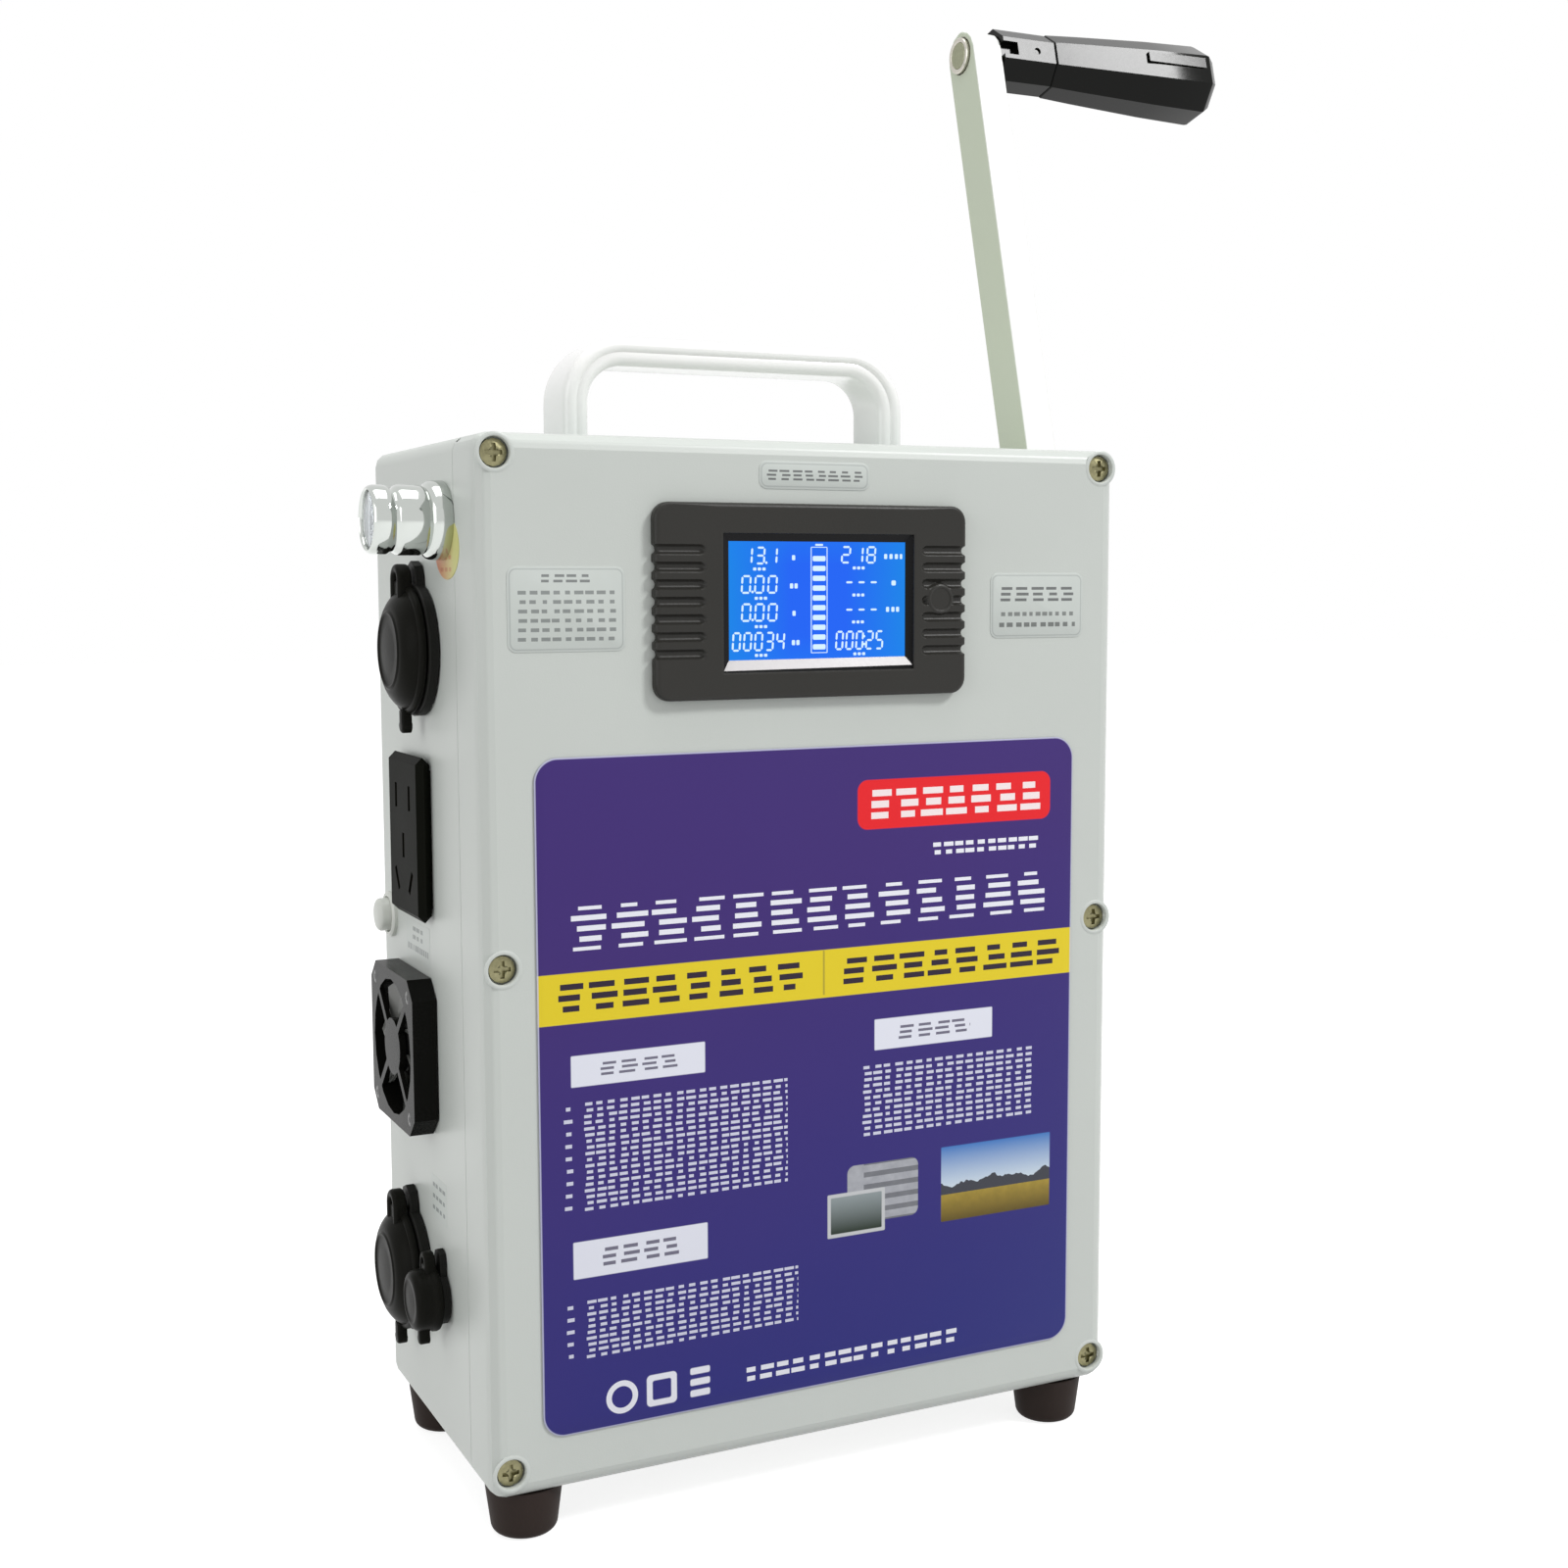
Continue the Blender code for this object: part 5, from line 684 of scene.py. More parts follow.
# Panel meter: rounding and corners of its bezel, window, finger grooves and key
BEZEL_ROUNDING = 1.3
BEZEL_CORNER = 4.2
GROOVES = 7
GROOVE_PITCH = 4.35
GROOVE_HALF = 1.15
GROOVE_DEPTH = 1.1
GROOVE_LENGTH = 13.6
KEY_RADIUS = 2.9
KEY_ACROSS = 34.3
WINDOW = ((-28.6, 206.9), (26.2, 241.9))


def even_outline(wide, tall, corner, spacing):
    """A rectangle with round corners about 0,0: sides at even spacing and eight steps to a corner."""
    corners = box_outline(wide, tall, corner)
    parts = []
    for start in range(4):
        arc = corners[start * 9:start * 9 + 9]
        ahead = corners[(start * 9 + 9) % len(corners)]
        count = max(2, int(np.linalg.norm(ahead - arc[-1]) / spacing[start % 2]))
        share = np.linspace(0, 1, count, endpoint=False)[1:, None]
        parts += [arc, arc[-1] + (ahead - arc[-1]) * share]
    return np.vstack(parts)


def groove_share(x, z, half_wide):
    """How deep a point of the bezel lies in a finger groove: sqrt(1 - (distance / half width)^2) of the
    nearest groove's line, whose inner end is round, and 0 on the lands between."""
    line = np.clip(np.round(z / GROOVE_PITCH), -(GROOVES // 2), GROOVES // 2) * GROOVE_PITCH
    past = np.maximum(0, half_wide - np.abs(x) - (GROOVE_LENGTH - GROOVE_HALF))
    distance = np.hypot(z - line, past) / GROOVE_HALF
    return np.sqrt(np.clip(1 - distance ** 2, 0, 1))


def finish_meter():
    """Panel meter. The bezel is one surface over rings that run from its outline to the window, raised by
    the bezel's height and lowered by the grooves, which also cut its side edges."""
    centre = (METER_LOW + METER_HIGH) / 2
    wide, tall = METER_HIGH[0] - METER_LOW[0], METER_HIGH[2] - METER_LOW[2]
    proud = -METER_LOW[1]
    outline = even_outline(wide, tall, BEZEL_CORNER, (1.6, 0.24))
    window_low, window_high = np.array(WINDOW) - centre[[0, 2]]
    window = np.column_stack((np.clip(outline[:, 0], window_low[0], window_high[0]),
                              np.clip(outline[:, 1], window_low[1], window_high[1])))
    span = np.linalg.norm(window - outline, axis=1, keepdims=True)
    inward = (window - outline) / np.maximum(span, 1e-6)
    rings = [np.column_stack((outline, np.full(len(outline), height))) for height in (0.3, 0.9)]
    for angle in np.radians(np.linspace(0, 90, 8)):
        flat = outline + inward * BEZEL_ROUNDING * (1 - math.cos(angle))
        height = proud - BEZEL_ROUNDING * (1 - math.sin(angle))
        rings.append(np.column_stack((flat, np.full(len(flat), height))))
    start = outline + inward * BEZEL_ROUNDING
    lip = window - inward * 0.5
    for share in np.linspace(0, 1, 44)[1:]:
        rings.append(np.column_stack((start + (lip - start) * share, np.full(len(start), proud))))
    rings.append(np.column_stack((window - inward * 0.12, np.full(len(window), proud - 0.12))))
    rings.append(np.column_stack((window, np.full(len(window), proud - 0.5))))
    rings.append(np.column_stack((window + np.sign(window - window.mean(axis=0)) * 0.6,
                                  np.full(len(window), 0.9))))
    rings = np.array(rings)
    share = groove_share(rings[..., 0], rings[..., 1], wide / 2)
    key = np.array((KEY_ACROSS, middle("meter_key")[2])) - centre[[0, 2]]
    reach = np.hypot(rings[..., 0] - key[0], rings[..., 1] - key[1])
    collar = np.clip((4.3 - reach) / 0.8, 0, 1)
    share = share * (1 - collar)
    outward = np.minimum(1, (rings[..., 2] - 0.3) / (proud - 0.3))
    rings[..., 2] -= share * GROOVE_DEPTH * outward
    edge = np.clip(1 - (wide / 2 - np.abs(rings[..., 0])) / BEZEL_ROUNDING, 0, 1)
    rings[..., 0] -= np.sign(rings[..., 0]) * share * edge * GROOVE_DEPTH * 0.8
    local = rings @ FRONT_WALL + np.array((centre[0], 0, centre[2]))
    build("meter_frame", [skin(local, caps=False)], "case", "bezel", ("meter_bezel",), 50)
    cup = [(KEY_RADIUS + 0.9, proud + 0.02), (KEY_RADIUS + 0.5, proud + 0.25), (KEY_RADIUS, proud + 0.1),
           (KEY_RADIUS - 0.25, proud - 0.9)]
    place = (KEY_ACROSS, 0, middle("meter_key")[2])
    build("key_collar", [turned(cup, place, FRONT_WALL, 40, caps=False)], "case", "bezel")
    button = [(2.4, -1.0), (2.4, 1.9), (2.1, 2.3), (1.5, 2.6), (0.7, 2.75), (0.2, 2.8)]
    build("meter_press_key", [turned(button, place, FRONT_WALL, 36)], "meter_button", "gloss_black",
          ("meter_key",))
    finish_screen()


# Lit segments of each figure, in the order top, upper right, lower right, bottom, lower left, upper left
# and middle
SEGMENTS = {"0": "1111110", "1": "0110000", "2": "1101101", "3": "1111001", "4": "0110011", "5": "1011011",
            "6": "1011111", "7": "1110000", "8": "1111111", "9": "1111011", "-": "0000001"}
SEGMENT_ENDS = (((0, 2), (1, 2)), ((1, 2), (1, 1)), ((1, 1), (1, 0)), ((0, 0), (1, 0)), ((0, 1), (0, 0)),
                ((0, 2), (0, 1)), ((0, 1), (1, 1)))
FIGURE_SLANT = 0.07


def bar(start, end, half):
    """A bar with pointed ends between two points, as an outline."""
    start, end = np.array(start, float), np.array(end, float)
    along = (end - start) / np.linalg.norm(end - start)
    side = np.array((-along[1], along[0])) * half
    return [start, start + along * half + side, end - along * half + side, end, end - along * half - side,
            start + along * half - side]


def figures(text, left, low, high, pitch, half=0.26):
    """Seven-segment figures that lean right, as outlines; a dot or colon takes no width."""
    outlines, column = [], 0
    tall = (high - low) / 2
    for sign in text:
        x = left + column * pitch
        if sign in ".:":
            for height in ((0.1,) if sign == "." else (0.55, 1.45)):
                dot = box_outline(0.62, 0.62, 0.2, 2) + (x - 0.36 * pitch / 2, low + height * tall)
                outlines.append(dot)
            continue
        wide = pitch * 0.62
        for lit, (start, end) in zip(SEGMENTS[sign], SEGMENT_ENDS):
            if lit == "1":
                ends = np.array((start, end), float) * (wide, tall)
                shrink = (ends[1] - ends[0]) * 0.07
                ends += np.array((shrink, -shrink))
                ends[:, 0] += x + FIGURE_SLANT * ends[:, 1]
                ends[:, 1] += low
                outlines.append(bar(ends[0], ends[1], half))
        column += 1
    return outlines


def blocks(rows):
    """Small plain blocks: centre across, centre up, width and height of each, as outlines."""
    return [box_outline(wide, tall, min(wide, tall) * 0.25, 2) + (x, z) for x, z, wide, tall in rows]


def flat_pieces(outlines, face, thickness=0.05):
    """Outlines on the front, each raised a little from a face."""
    return [plate(outline, face, face + thickness, (0, 0, 0), FRONT_WALL) for outline in outlines]


def finish_screen():
    """Lit display with its glass, the sloping sill under it, plain figures, a bar column and small blocks
    where a display has its units."""
    face = 1.3
    left, right, low, high = -28.1, 25.7, 207.4, 241.4
    glass = box_outline(right - left, high - low, 0.3, 2) + ((left + right) / 2, (low + high) / 2)
    build("lit_display", [plate(glass, 0.4, face, (0, 0, 0), FRONT_WALL)], "case", "glass",
          ("meter_screen",))
    sill = [[(-26.7, -1.34, 209.9), (24.5, -1.34, 210.1), (26.1, -2.45, 207.9), (-28.5, -2.45, 207.3)],
            [(-26.7, -1.30, 209.8), (24.5, -1.30, 210.0), (26.1, -1.30, 207.5), (-28.5, -1.30, 207.0)]]
    build("display_sill", [skin(sill)], "case", "sill")
    surround = [[(-29.0, -2.4, 206.6), (26.6, -2.4, 206.6), (26.6, -2.4, 242.2), (-29.0, -2.4, 242.2)],
                [(-26.6, -1.36, 209.5), (24.4, -1.36, 209.5), (24.4, -1.36, 240.0), (-26.6, -1.36, 240.0)]]
    build("display_surround", [skin(surround, caps=False)], "case", "surround")
    lines = []
    for row in (("13.1", -22.4, 234.4, 238.4, 3.5), ("0.00", -23.0, 227.0, 231.2, 3.7),
                ("0.00", -23.0, 219.9, 224.1, 3.7), ("00034", -25.6, 212.4, 216.8, 3.1),
                ("218", 5.6, 234.7, 238.7, 3.7), ("---", 6.6, 227.6, 231.6, 3.6),
                ("---", 6.6, 220.5, 224.5, 3.6), ("000:25", 3.9, 212.3, 216.8, 2.95)):
        lines += figures(*row)
    lines += blocks([(-0.95, 213.0 + 2.52 * step, 3.7, 1.35) for step in range(10)])
    lines += blocks([(-3.25, 225.0, 0.22, 27.0), (1.35, 225.0, 0.22, 27.0), (-0.95, 211.5, 4.6, 0.2),
                     (-0.95, 238.6, 4.6, 0.2), (-0.95, 239.2, 2.2, 0.5)])
    units = [(-8.3, 235.9, 0.9), (-8.9, 228.7, 0.9), (-7.6, 228.7, 0.9), (-8.2, 221.7, 0.9),
             (-8.4, 214.2, 0.9), (-7.1, 214.2, 0.9), (18.6, 236.3, 0.9), (20.2, 236.3, 0.9),
             (21.8, 236.3, 0.9), (23.2, 236.3, 0.7), (21.0, 229.4, 1.3), (19.2, 222.5, 0.9),
             (20.8, 222.5, 0.9), (22.2, 222.5, 0.9)]
    lines += blocks([(x, z, wide, 1.3) for x, z, wide in units])
    names = [(-18.0, 233.0), (-17.6, 225.6), (-17.6, 218.4), (-17.6, 211.1), (10.6, 233.3), (10.5, 226.3),
             (10.4, 219.3), (10.8, 211.0)]
    lines += blocks([(x + step * 1.3, z, 0.9, 0.75) for x, z in names for step in (-1, 0, 1)])
    build("display_figures", flat_pieces(lines, face), "case", "lit")


def finish_label():
    """The printed label, and thin paper notes above it and on the left wall."""
    low, high = LABEL_LOW, LABEL_HIGH
    outline = box_outline(high[0] - low[0], high[2] - low[2], 6, 10)
    place = (0, 0, (low[2] + high[2]) / 2)
    build("printed_label", [plate(outline, -high[1], -low[1] - 0.2, place, FRONT_WALL, 0.15, 2)],
          "case", "label", ("front_label",))
    for name, (left, right, bottom, top) in NOTES.items():
        outline = box_outline(right - left, top - bottom, 2.2, 6)
        place = ((left + right) / 2, 0, (bottom + top) / 2)
        build(name, [plate(outline, -0.1, 0.16, place, FRONT_WALL, 0.08, 2)], "case", "note")
    angle = np.linspace(0, 2 * np.pi, 48, endpoint=False)
    oval = np.column_stack((10.3 * np.cos(angle), 7.8 * np.sin(angle)))
    build("side_sticker", [plate(oval, -0.1, 0.18, (LEFT, 24.0, 238.3), LEFT_WALL, 0.08, 2)], "case",
          "sticker")
    for name, (low_y, high_y, low_z, high_z) in WALL_PRINTS.items():
        outline = box_outline(high_y - low_y, high_z - low_z, 0.6, 2)
        place = (LEFT, (low_y + high_y) / 2, (low_z + high_z) / 2)
        build(name, [plate(outline, -0.1, 0.04, place, LEFT_WALL)], "case", "wall_print")


def arch(centre, wall, radius, thick, low, high, reach, steps=24):
    """A strap loop: a rounded oblong section of thick by high - low, carried along a path that leaves the
    disc straight up by reach, bends over a half circle of the radius and comes back down."""
    turn = np.linspace(0, np.pi, steps)
    path = np.column_stack((radius * np.cos(turn), reach + radius * np.sin(turn)))
    out = np.column_stack((np.cos(turn), np.sin(turn)))
    path = np.vstack(((radius, 0), path, (-radius, 0)))
    out = np.vstack(((1, 0), out, (-1, 0)))
    section = box_outline(thick, high - low, min(thick, high - low) * 0.42, 5)
    rings = []
    for point, side in zip(path, out):
        flat = point + side * section[:, :1]
        rings.append(np.column_stack((flat, section[:, 1] + (low + high) / 2)))
    return skin(np.array(rings) @ wall + np.asarray(centre, float))


def tongue(centre, wall, wide, start, end, low, high, waist=0.0):
    """A pull tab that hangs below a disc: an outline with a round end, its edges rounded."""
    half = wide / 2
    sides = [(half - waist, start), (half - waist, (start + end) / 2), (half, end + half)]
    tip = corner_arc((0, end + half), half, 0, -180, 10)
    outline = np.vstack((sides[:2], tip, [(-x, z) for x, z in reversed(sides[:2])]))[::-1]
    flat = np.asarray(centre, float) + np.array((0, 0, low)) @ wall
    return plate(outline, 0, high - low, flat, wall, min(0.7, (high - low) / 3), 3)


def cap_skins(centre, profile, steps, loop, bridge, tab):
    """A rubber cap: a turned disc with its plug, a strap loop with a bridge under it above, and a pull tab
    below."""
    wide, tall, corner, up, low, high, rounding = bridge
    return [turned(profile, centre, LEFT_WALL, steps), arch(centre, LEFT_WALL, *loop),
            plate(box_outline(wide, tall, corner, 4) + (0, up), low, high, centre, LEFT_WALL, rounding, 3),
            tongue(centre, LEFT_WALL, *tab)]


def finish_caps():
    """Sockets and their rubber caps. A cap's disc has a plug, a lip, a groove, a dome and a raised ring."""
    profile = [(8.4, 0.7), (9.0, 0.9), (9.7, 3.3), (16.0, 3.3), (16.6, 3.5), (16.8, 4.0), (16.8, 4.6),
               (16.5, 5.1), (16.0, 5.35), (15.7, 5.3), (15.5, 5.35), (15.1, 6.0), (14.3, 6.9),
               (13.2, 7.8), (12.0, 8.5), (10.9, 8.95), (10.5, 8.95), (10.2, 9.1), (9.9, 9.35),
               (9.5, 9.35), (9.2, 9.1), (8.9, 8.95), (6.0, 9.15), (3.0, 9.3), (0.5, 9.35)]
    for name, body in (("dc_socket", "dc_cap"), ("usb_socket", "usb_cap")):
        cap = f"{name}_cap"
        centre = (LEFT, middle(cap)[1], limits(cap)[0][2] + 5.0 + 16.8)
        parts = cap_skins(centre, profile, 72, (3.2, 2.3, 3.4, 7.2, 17.9),
                          (8.6, 4.2, 1.4, 15.9, 3.5, 6.6, 0.7), (4.5, -15.6, -21.7, 3.6, 6.2, 0.5))
        build(f"{body}_cover", parts, body, "rubber", (cap,), 40)
    for name in ("dc_socket", "usb_socket"):
        softened(name, "black", edge=0.4)
        softened(f"{name}_nut", "black")
    centre = (LEFT, middle("charge_jack_cap")[1], limits("charge_jack_cap")[0][2] + 3.6 + 8.7)
    profile = [(2.2, 1.2), (2.6, 1.4), (2.7, 2.5), (8.0, 2.5), (8.5, 2.8), (8.7, 3.4), (8.6, 4.4),
               (8.2, 4.8), (8.0, 5.6), (8.0, 7.4), (7.8, 8.4), (7.2, 9.1), (6.2, 9.5), (5.6, 9.5),
               (5.3, 9.3), (4.0, 9.35), (0.4, 9.5)]
    parts = cap_skins(centre, profile, 56, (2.1, 1.7, 3.0, 6.0, 9.9, 18),
                      (5.6, 3.4, 1.0, 7.9, 3.0, 5.8, 0.6), (3.4, -7.6, -12.2, 4.6, 7.4, 0.3))
    build("jack_cap_cover", parts, "jack_cap", "rubber", ("charge_jack_cap",), 40)
    softened("charge_jack", "black", edge=0.3)


def finish_outlet():
    """Mains outlet with brass contacts down its slots, and the push button beside it."""
    softened("ac_outlet", "outlet", edge=0.2)
    y, z = middle("ac_outlet")[1:]
    slots = ((-6.35, 10.5), (6.35, 10.5), (-6.5, -12.0), (6.5, -12.0), (0.0, -2.5))
    contacts = [plate(box_outline(1.1, 4.2, 0.3, 2) + slot, -7.0, 3.3, (LEFT, y, z), LEFT_WALL)
                for slot in slots]
    build("outlet_contacts", contacts, "case", "brass")
    y, z = middle("output_button")[1:]
    ring = [(6.4, 0), (6.4, 0.9), (6.1, 1.3), (5.6, 1.5), (5.1, 1.4), (4.9, 1.0), (4.9, -3)]
    build("button_ring", [turned(ring, (LEFT, y, z), LEFT_WALL, 48, caps=False)], "case", "white",
          ("output_button_bezel",))
    dome = [(4.6, -7.5), (4.6, 3.4), (4.4, 3.9), (3.8, 4.35), (2.6, 4.65), (1.2, 4.78), (0.3, 4.8)]
    build("button_dome", [turned(dome, (LEFT, y, z), LEFT_WALL, 48)], "output_key", "white",
          ("output_button",))


# Fan wheel: blades, and where they start and end
BLADES = 7
BLADE_ROOT = 7.4
BLADE_TIP = 17.5


def finish_fan():
    """Fan: its frame, a guard screw in each corner, a hub with a turned cap, and curved blades. A blade is
    a sheet over radius and chord: its angle sweeps forward with the radius, and its height falls along
    the chord."""
    softened("fan_frame", "fan_black", edge=0.5)
    y, z = middle("fan_frame")[1:]
    centre = (LEFT, y, z)
    low, high = limits("fan_rotor")
    base, top = LEFT - high[0], LEFT - low[0]
    hub = [(7.6, base), (7.8, base + 0.3), (7.8, top - 0.7), (7.3, top - 0.2), (6.6, top), (5.2, top),
           (4.9, top - 0.25), (0.4, top - 0.25)]
    build("fan_hub", [turned(hub, centre, LEFT_WALL, 48)], "fan", "fan_hub")
    parts = []
    radius, chord = np.meshgrid(np.linspace(BLADE_ROOT, BLADE_TIP, 12), np.linspace(-0.5, 0.5, 9),
                                indexing="ij")
    share = (radius - BLADE_ROOT) / (BLADE_TIP - BLADE_ROOT)
    for blade in range(BLADES):
        angle = blade * 2 * math.pi / BLADES + 0.42 * share + chord * (0.62 + 0.08 * share)
        height = (base + top) / 2 - chord * 3.4 + 0.25 * (chord * 2) ** 2
        upper = np.stack((radius * np.cos(angle), radius * np.sin(angle), height + 0.35), axis=-1)
        lower = upper - (0, 0, 0.7)
        ring = np.concatenate((upper, lower[:, ::-1]), axis=1)
        parts.append(skin(ring @ LEFT_WALL + np.asarray(centre, float)))
    # the blades' lighter grey is a painted glint
    build("fan_wheel", parts, "fan", "fan_blade_painted_glint", ("fan_rotor",), 50)
    low, high = limits("fan_frame")
    reach = (high[1] - low[1]) / 2 - 4.6
    proud = LEFT - low[0]
    head = [(2.1, proud - 0.3), (2.1, proud - 0.1), (1.7, proud + 0.02), (0.8, proud + 0.02),
            (0.6, proud - 0.25)]
    screws = [turned(head, (LEFT, y + across, z + up), LEFT_WALL, 24)
              for across in (-reach, reach) for up in (-reach, reach)]
    build("fan_screws", screws, "case", "gloss_black")


def finish_lamp():
    """Chrome lamp: turned barrel with a flange, a waist, a ring and a rolled end round the cup."""
    y, z = middle("lamp_housing")[1:]
    place = (LEFT, y, z)
    profile = [(7.7, -14), (7.7, 0), (9.6, 0), (9.9, 0.4), (9.9, 2.6), (9.8, 3.6), (9.5, 4.4),
               (9.0, 4.9), (8.3, 5.2), (8.5, 5.8), (8.7, 6.6), (8.7, 11.6), (8.5, 12.4), (8.1, 12.9),
               (7.8, 13.3), (7.75, 13.8), (8.1, 14.4), (8.5, 15.0), (8.6, 15.8), (8.6, 18.0),
               (8.4, 18.8), (8.0, 19.3), (7.6, 19.5), (7.3, 19.3), (7.15, 18.9), (7.1, 16.0), (5.6, 12.6),
               (3.4, 10.6), (3.4, -13)]
    build("lamp_barrel", [turned(profile, place, LEFT_WALL, 96)], "case", "chrome",
          ("lamp_housing",), 40)
    lens = [(7.0, 17.0), (7.05, 18.4), (6.2, 18.75), (4.6, 19.05), (2.4, 19.25), (0.3, 19.3)]
    build("lamp_glass", [turned(lens, place, LEFT_WALL, 64)], "case", "lens", ("lamp_lens",))


def finish_handle():
    """Carrying handle: a section of two rounded lobes with a fine groove between them, on the front and the
    rear, carried up a leg, round a bend, across and down again."""
    low, high = limits("carry_handle")
    thick, wide = 7.3, high[1] - low[1] - 0.8
    left, right = low[0] + thick / 2 + 0.4, high[0] - thick / 2
    foot, top = low[2], high[2] - thick / 2 - 0.4
    bend = 13.5
    turn = np.radians(np.linspace(0, 90, 16))
    up_left = np.column_stack((left + bend * (1 - np.cos(turn)), top - bend + bend * np.sin(turn)))
    over_right = np.column_stack((right - bend * (1 - np.sin(turn)), top - bend + bend * np.cos(turn)))
    path = np.vstack(((left, foot), (left, foot + 6), up_left, over_right, (right, foot + 6), (right, foot)))
    ahead = np.gradient(path, axis=0)
    ahead /= np.linalg.norm(ahead, axis=1, keepdims=True)
    ahead[0], ahead[-1] = (0, 1), (0, -1)
    across = np.column_stack((ahead[:, 1], -ahead[:, 0]))
    half, end = thick / 2, wide / 2

    def lobe(side, depth, tall, first, last):
        """Part of an oval that is as wide as the bar's half leaves room for."""
        return corner_arc((0, 0), 1.0, first, last, 8) * (half - abs(side), tall) + (side, depth - end)

    outer, inner = lobe(-0.9, 2.6, 2.6, 180, 262), lobe(0.9, 3.2, 2.7, 278, 360)
    groove = [(-0.35, -end + 0.45), (0.05, -end + 0.95), (0.4, -end + 0.85)]
    nearer = np.vstack(([(-half, 0)], outer, groove, inner))
    farther = nearer[::-1] * (1, -1)
    section = np.vstack((nearer, farther[:-1]))
    rings = [np.column_stack((point[0] + side[0] * section[:, 0], section[:, 1] + (low[1] + high[1]) / 2,
                              point[1] + side[1] * section[:, 0])) for point, side in zip(path, across)]
    build("handle_bar", [skin(rings)], "case", "handle", ("carry_handle",), 40)


def facet_rings(stations, centre, turn):
    """Eight-sided rings about an axis across the case: stations of place and radius to the corners."""
    angle = np.radians(22.5 + turn + 45 * np.arange(8))
    rings = [np.column_stack((np.full(8, x), centre[0] + radius * np.sin(angle),
                              centre[1] + radius * np.cos(angle))) for x, radius in stations]
    return np.array(rings)


def finish_crank():
    """Crank arm, its nut and hub screw, and the eight-sided grip with a shallow raised step on its front
    facet."""
    softened("crank_arm", "arm", "crank", edge=0.5)
    softened("crank_hub_screw", "zinc", "crank", edge=0.3)
    softened("grip_spindle", "spindle_end", "crank", edge=0.2)
    place = (limits("grip_nut")[0][0], *middle("grip_nut")[1:])
    nut = [(5.4, -2.0), (5.5, -0.3), (5.2, 0.0), (4.4, 0.05), (3.9, -0.3), (3.5, -1.0), (3.4, -2.0)]
    build("arm_nut", [turned(nut, place, LEFT_WALL, 48, wrap=True)], "crank", "nut",
          ("grip_nut",), 40)
    softened("grip_collar", "gloss_black", "crank", 20, 0.35)
    start, end = (corner[0] for corner in limits("grip"))
    centre = middle("grip")[1:]
    lean = math.degrees(math.atan2(*(middle("grip_nut") - middle("crank_hub_screw"))[1:]))
    stations = [(start, 4.2), (start, 9.3), (start + 0.4, 9.62), (start + 12, 10.4), (end - 24, 11.9),
                (end - 4.6, 12.55), (end - 3.4, 12.35), (end - 0.7, 10.2), (end, 9.2), (end, 3.0)]
    body = skin(facet_rings(stations, centre, lean))
    facing = math.radians(lean - 90)
    out = np.array((math.sin(facing), math.cos(facing)))
    along = np.array((-out[1], out[0]))
    face = 11.05
    step = [[(end - back, *(centre + out * (face + lift + rise) - along * side))
             for back, rise, side in ((28, 0, 0.2), (5.5, 0.3, 0.2), (5.5, 0.3, 3.6), (28, 0, 3.4))]
            for lift in (-0.6, 0.62)]
    build("crank_grip", [body, skin(step)], "grip_body", "gloss_black", ("grip",), 20)


def finish_rest():
    """Finishes for the CAD nodes whose shapes stay."""
    kept = {
        "black": ("meter_body",),
        "aluminium": ("heatsink",),
        "zinc": ("handle_screw_1", "handle_screw_2", "generator_can", "generator_end_plate"),
        "steel": ("crank_shaft", "gear_frame_outer", "gear_frame_inner", "cluster_pin", "crank_gear",
                  "cluster_gear", "rotor_pinion", "stator"),
        "magnet": ("magnet_rotor",),
        "brass": ("lamp_nut",),
        "bronze": ("shaft_bush",),
        "wrap": ("battery_pack",),
        "board": ("inverter_board", "controller_board"),
    }
    for finish, nodes in kept.items():
        for node in nodes:
            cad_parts[node].data.materials.clear()
            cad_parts[node].data.materials.append(FINISHES[finish].material)


def look_along(yaw, pitch, roll):
    """Right, up and backward directions of a camera turned from +Y toward +X by yaw, then tilted."""
    yaw, pitch, roll = (math.radians(angle) for angle in (yaw, pitch, roll))
    forward = np.array((math.sin(yaw) * math.cos(pitch), math.cos(yaw) * math.cos(pitch), math.sin(pitch)))
    right = np.array((math.cos(yaw), -math.sin(yaw), 0.0))
    up = np.cross(right, forward)
    turned_right = math.cos(roll) * right + math.sin(roll) * up
    turned_up = -math.sin(roll) * right + math.cos(roll) * up
    return turned_right, turned_up, -forward


def make_camera():
    """Camera at the photograph's place and angle."""
    data = bpy.data.cameras.new("camera")
    data.sensor_width = SENSOR_WIDTH
    data.lens = CAMERA_FOCAL_PIXELS / FRAME_PIXELS * SENSOR_WIDTH
    data.clip_start = 0.01
    camera = new_object("camera", data)
    stand(camera, *look_along(CAMERA_YAW, CAMERA_PITCH, CAMERA_ROLL), np.array(CAMERA_PLACE) * MM + ORIGIN)
    bpy.context.scene.camera = camera


# How bright the floor looks by itself, and how strongly the surroundings light the object
FLOOR_GLOW = 0.82
SKY_LIGHT = 0.50


def on_rays(nodes, *kinds):
    """1 on rays of the named kinds and 0 on others."""
    found = None
    for kind in kinds:
        wire = nodes.node("ShaderNodeLightPath", {}, {}, f"Is {kind} Ray")
        found = wire if found is None else found.work("MAXIMUM", wire)
    return found


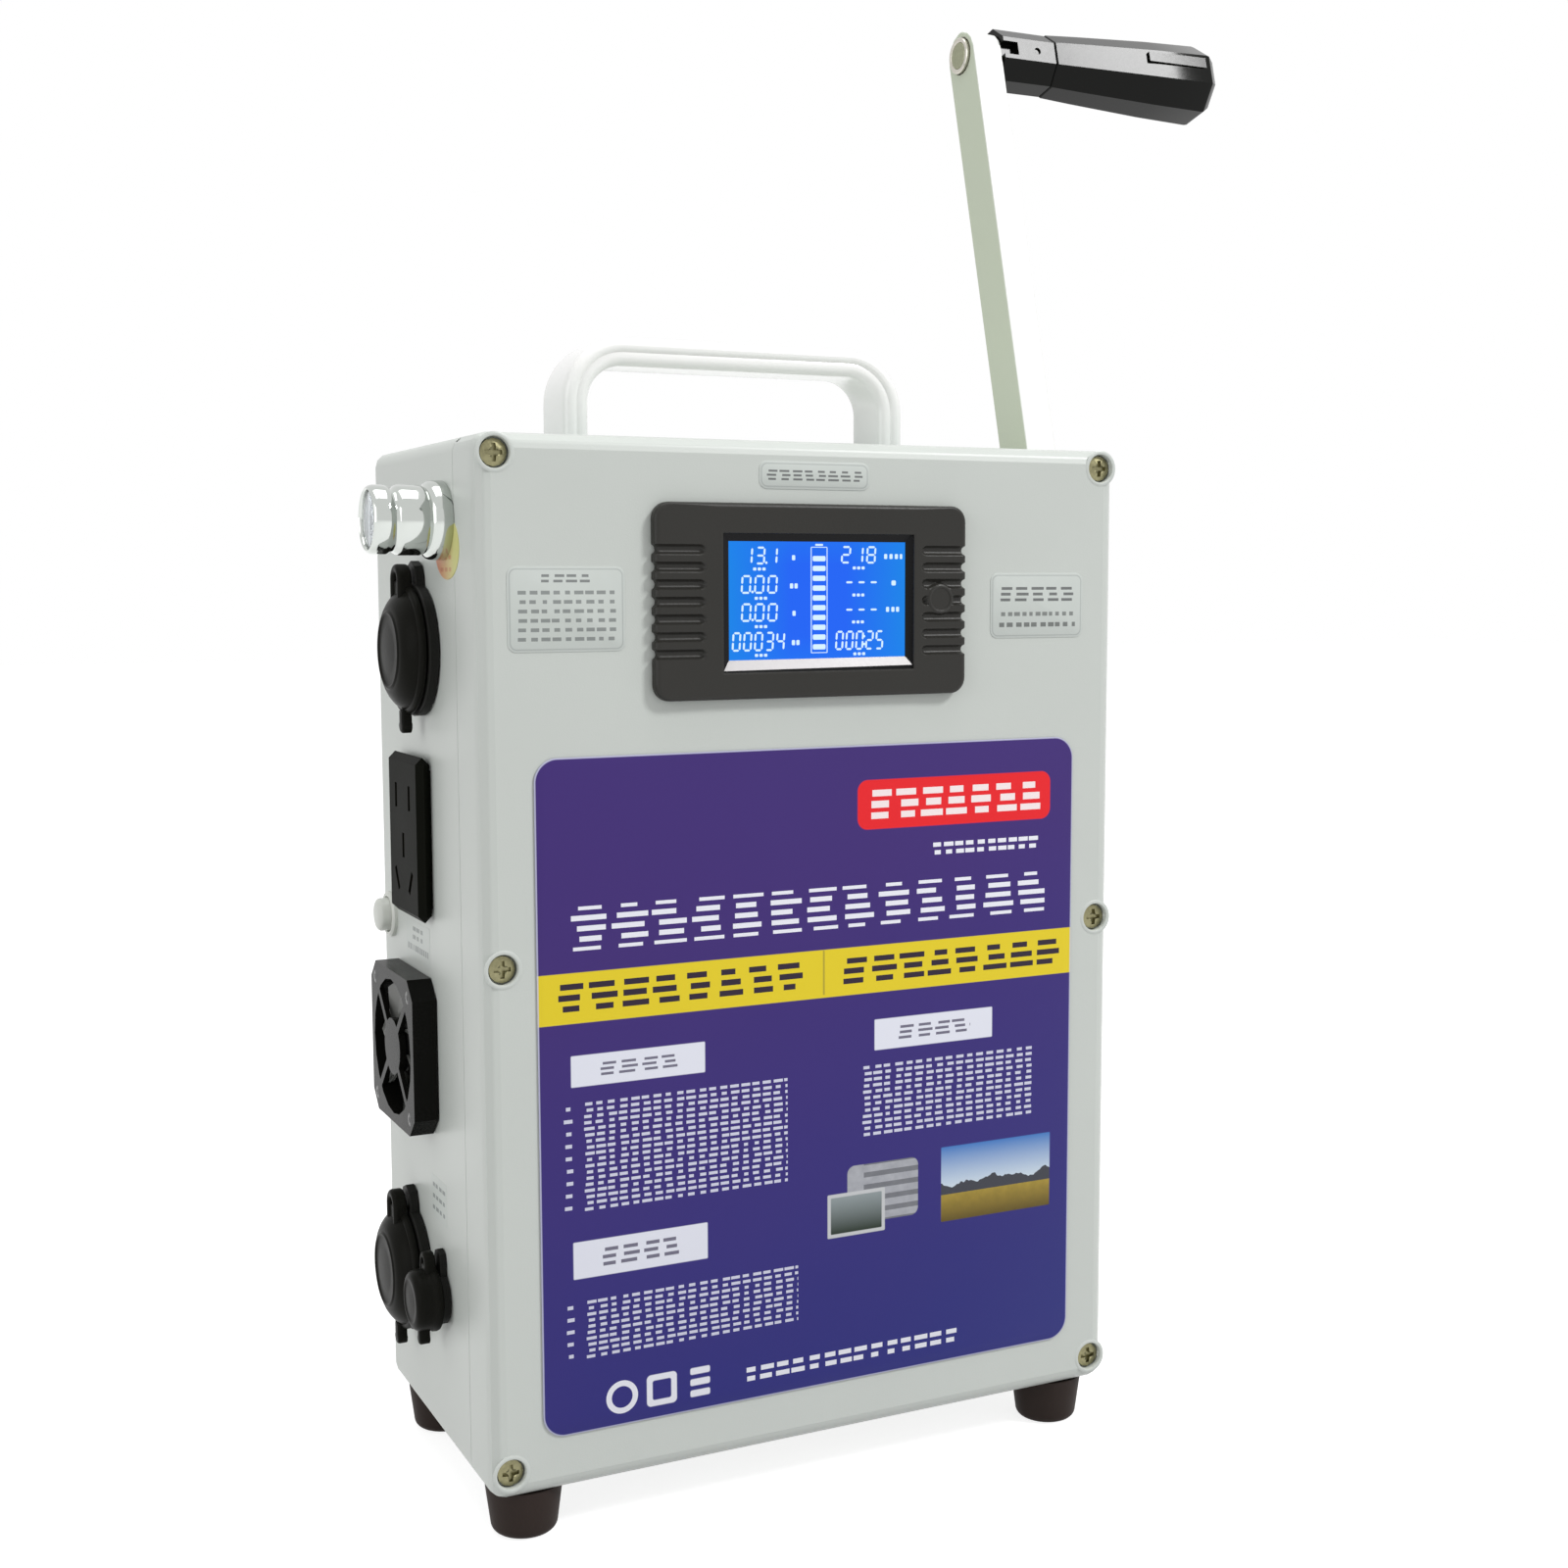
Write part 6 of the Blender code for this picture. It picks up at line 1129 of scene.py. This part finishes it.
def make_floor():
    """Pale floor that shows white where nothing shades it, and keeps the object's shadow."""
    half = 6.0
    mesh = bpy.data.meshes.new("floor")
    mesh.from_pydata([(-half, -half, 0), (half, -half, 0), (half, half, 0), (-half, half, 0)], [],
                     [(0, 1, 2, 3)])
    floor = new_object("floor", mesh)
    material = bpy.data.materials.new("floor")
    material.use_nodes = True
    nodes = Nodes(material.node_tree)
    nodes.tree.nodes.clear()
    diffuse = nodes.node("ShaderNodeBsdfDiffuse", {}, {"Color": (0.5, 0.5, 0.5, 1)})
    glow = nodes.node("ShaderNodeEmission", {}, {"Strength": on_rays(nodes, "Camera", "Glossy") * FLOOR_GLOW})
    both = nodes.node("ShaderNodeAddShader", {}, {0: diffuse, 1: glow})
    nodes.join(nodes.tree.nodes.new("ShaderNodeOutputMaterial").inputs["Surface"], both)
    mesh.materials.append(material)


def make_world():
    """Plain pale surroundings: white to the camera and in reflections, dimmer as a light."""
    world = bpy.data.worlds.new("studio")
    bpy.context.scene.world = world
    world.use_nodes = True
    nodes = Nodes(world.node_tree)
    nodes.tree.nodes.clear()
    light = nodes.node("ShaderNodeBackground", {}, {"Color": (1, 1, 1, 1), "Strength": SKY_LIGHT})
    seen = nodes.node("ShaderNodeBackground", {}, {"Color": (1, 1, 1, 1)})
    mixed = nodes.node("ShaderNodeMixShader", {},
                       {0: on_rays(nodes, "Camera", "Glossy", "Transmission"), 1: light, 2: seen})
    nodes.join(nodes.tree.nodes.new("ShaderNodeOutputWorld").inputs["Surface"], mixed)


def add_lamp(name, place, target, size, watts):
    """A soft square lamp that faces a target, both in metres from the case's lower front edge."""
    data = bpy.data.lights.new(name, "AREA")
    data.shape = "SQUARE"
    data.size = size
    data.energy = watts
    back = np.array(place, float) - np.array(target, float)
    back /= np.linalg.norm(back)
    right = np.cross((0, 0, 1), back)
    right /= np.linalg.norm(right)
    stand(new_object(name, data), right, np.cross(back, right), back, np.array(place) + ORIGIN)


def make_studio():
    """Floor, surroundings and three soft lamps."""
    make_floor()
    make_world()
    add_lamp("key", (1.26, -1.29, 1.78), (0.05, 0.06, 0.25), 0.45, 30)
    add_lamp("side", (-1.9, -0.5, 0.7), (-0.05, 0.05, 0.15), 1.3, 9.0)
    add_lamp("overhead", (-0.1, 0.1, 1.9), (-0.1, 0.05, 0.2), 1.2, 10)
    bpy.context.scene.view_settings.view_transform = "Standard"


FINISHES = make_finishes()
finish_shells()
finish_feet()
finish_meter()
finish_label()
finish_caps()
finish_outlet()
finish_fan()
finish_lamp()
finish_handle()
finish_crank()
finish_rest()
make_camera()
make_studio()
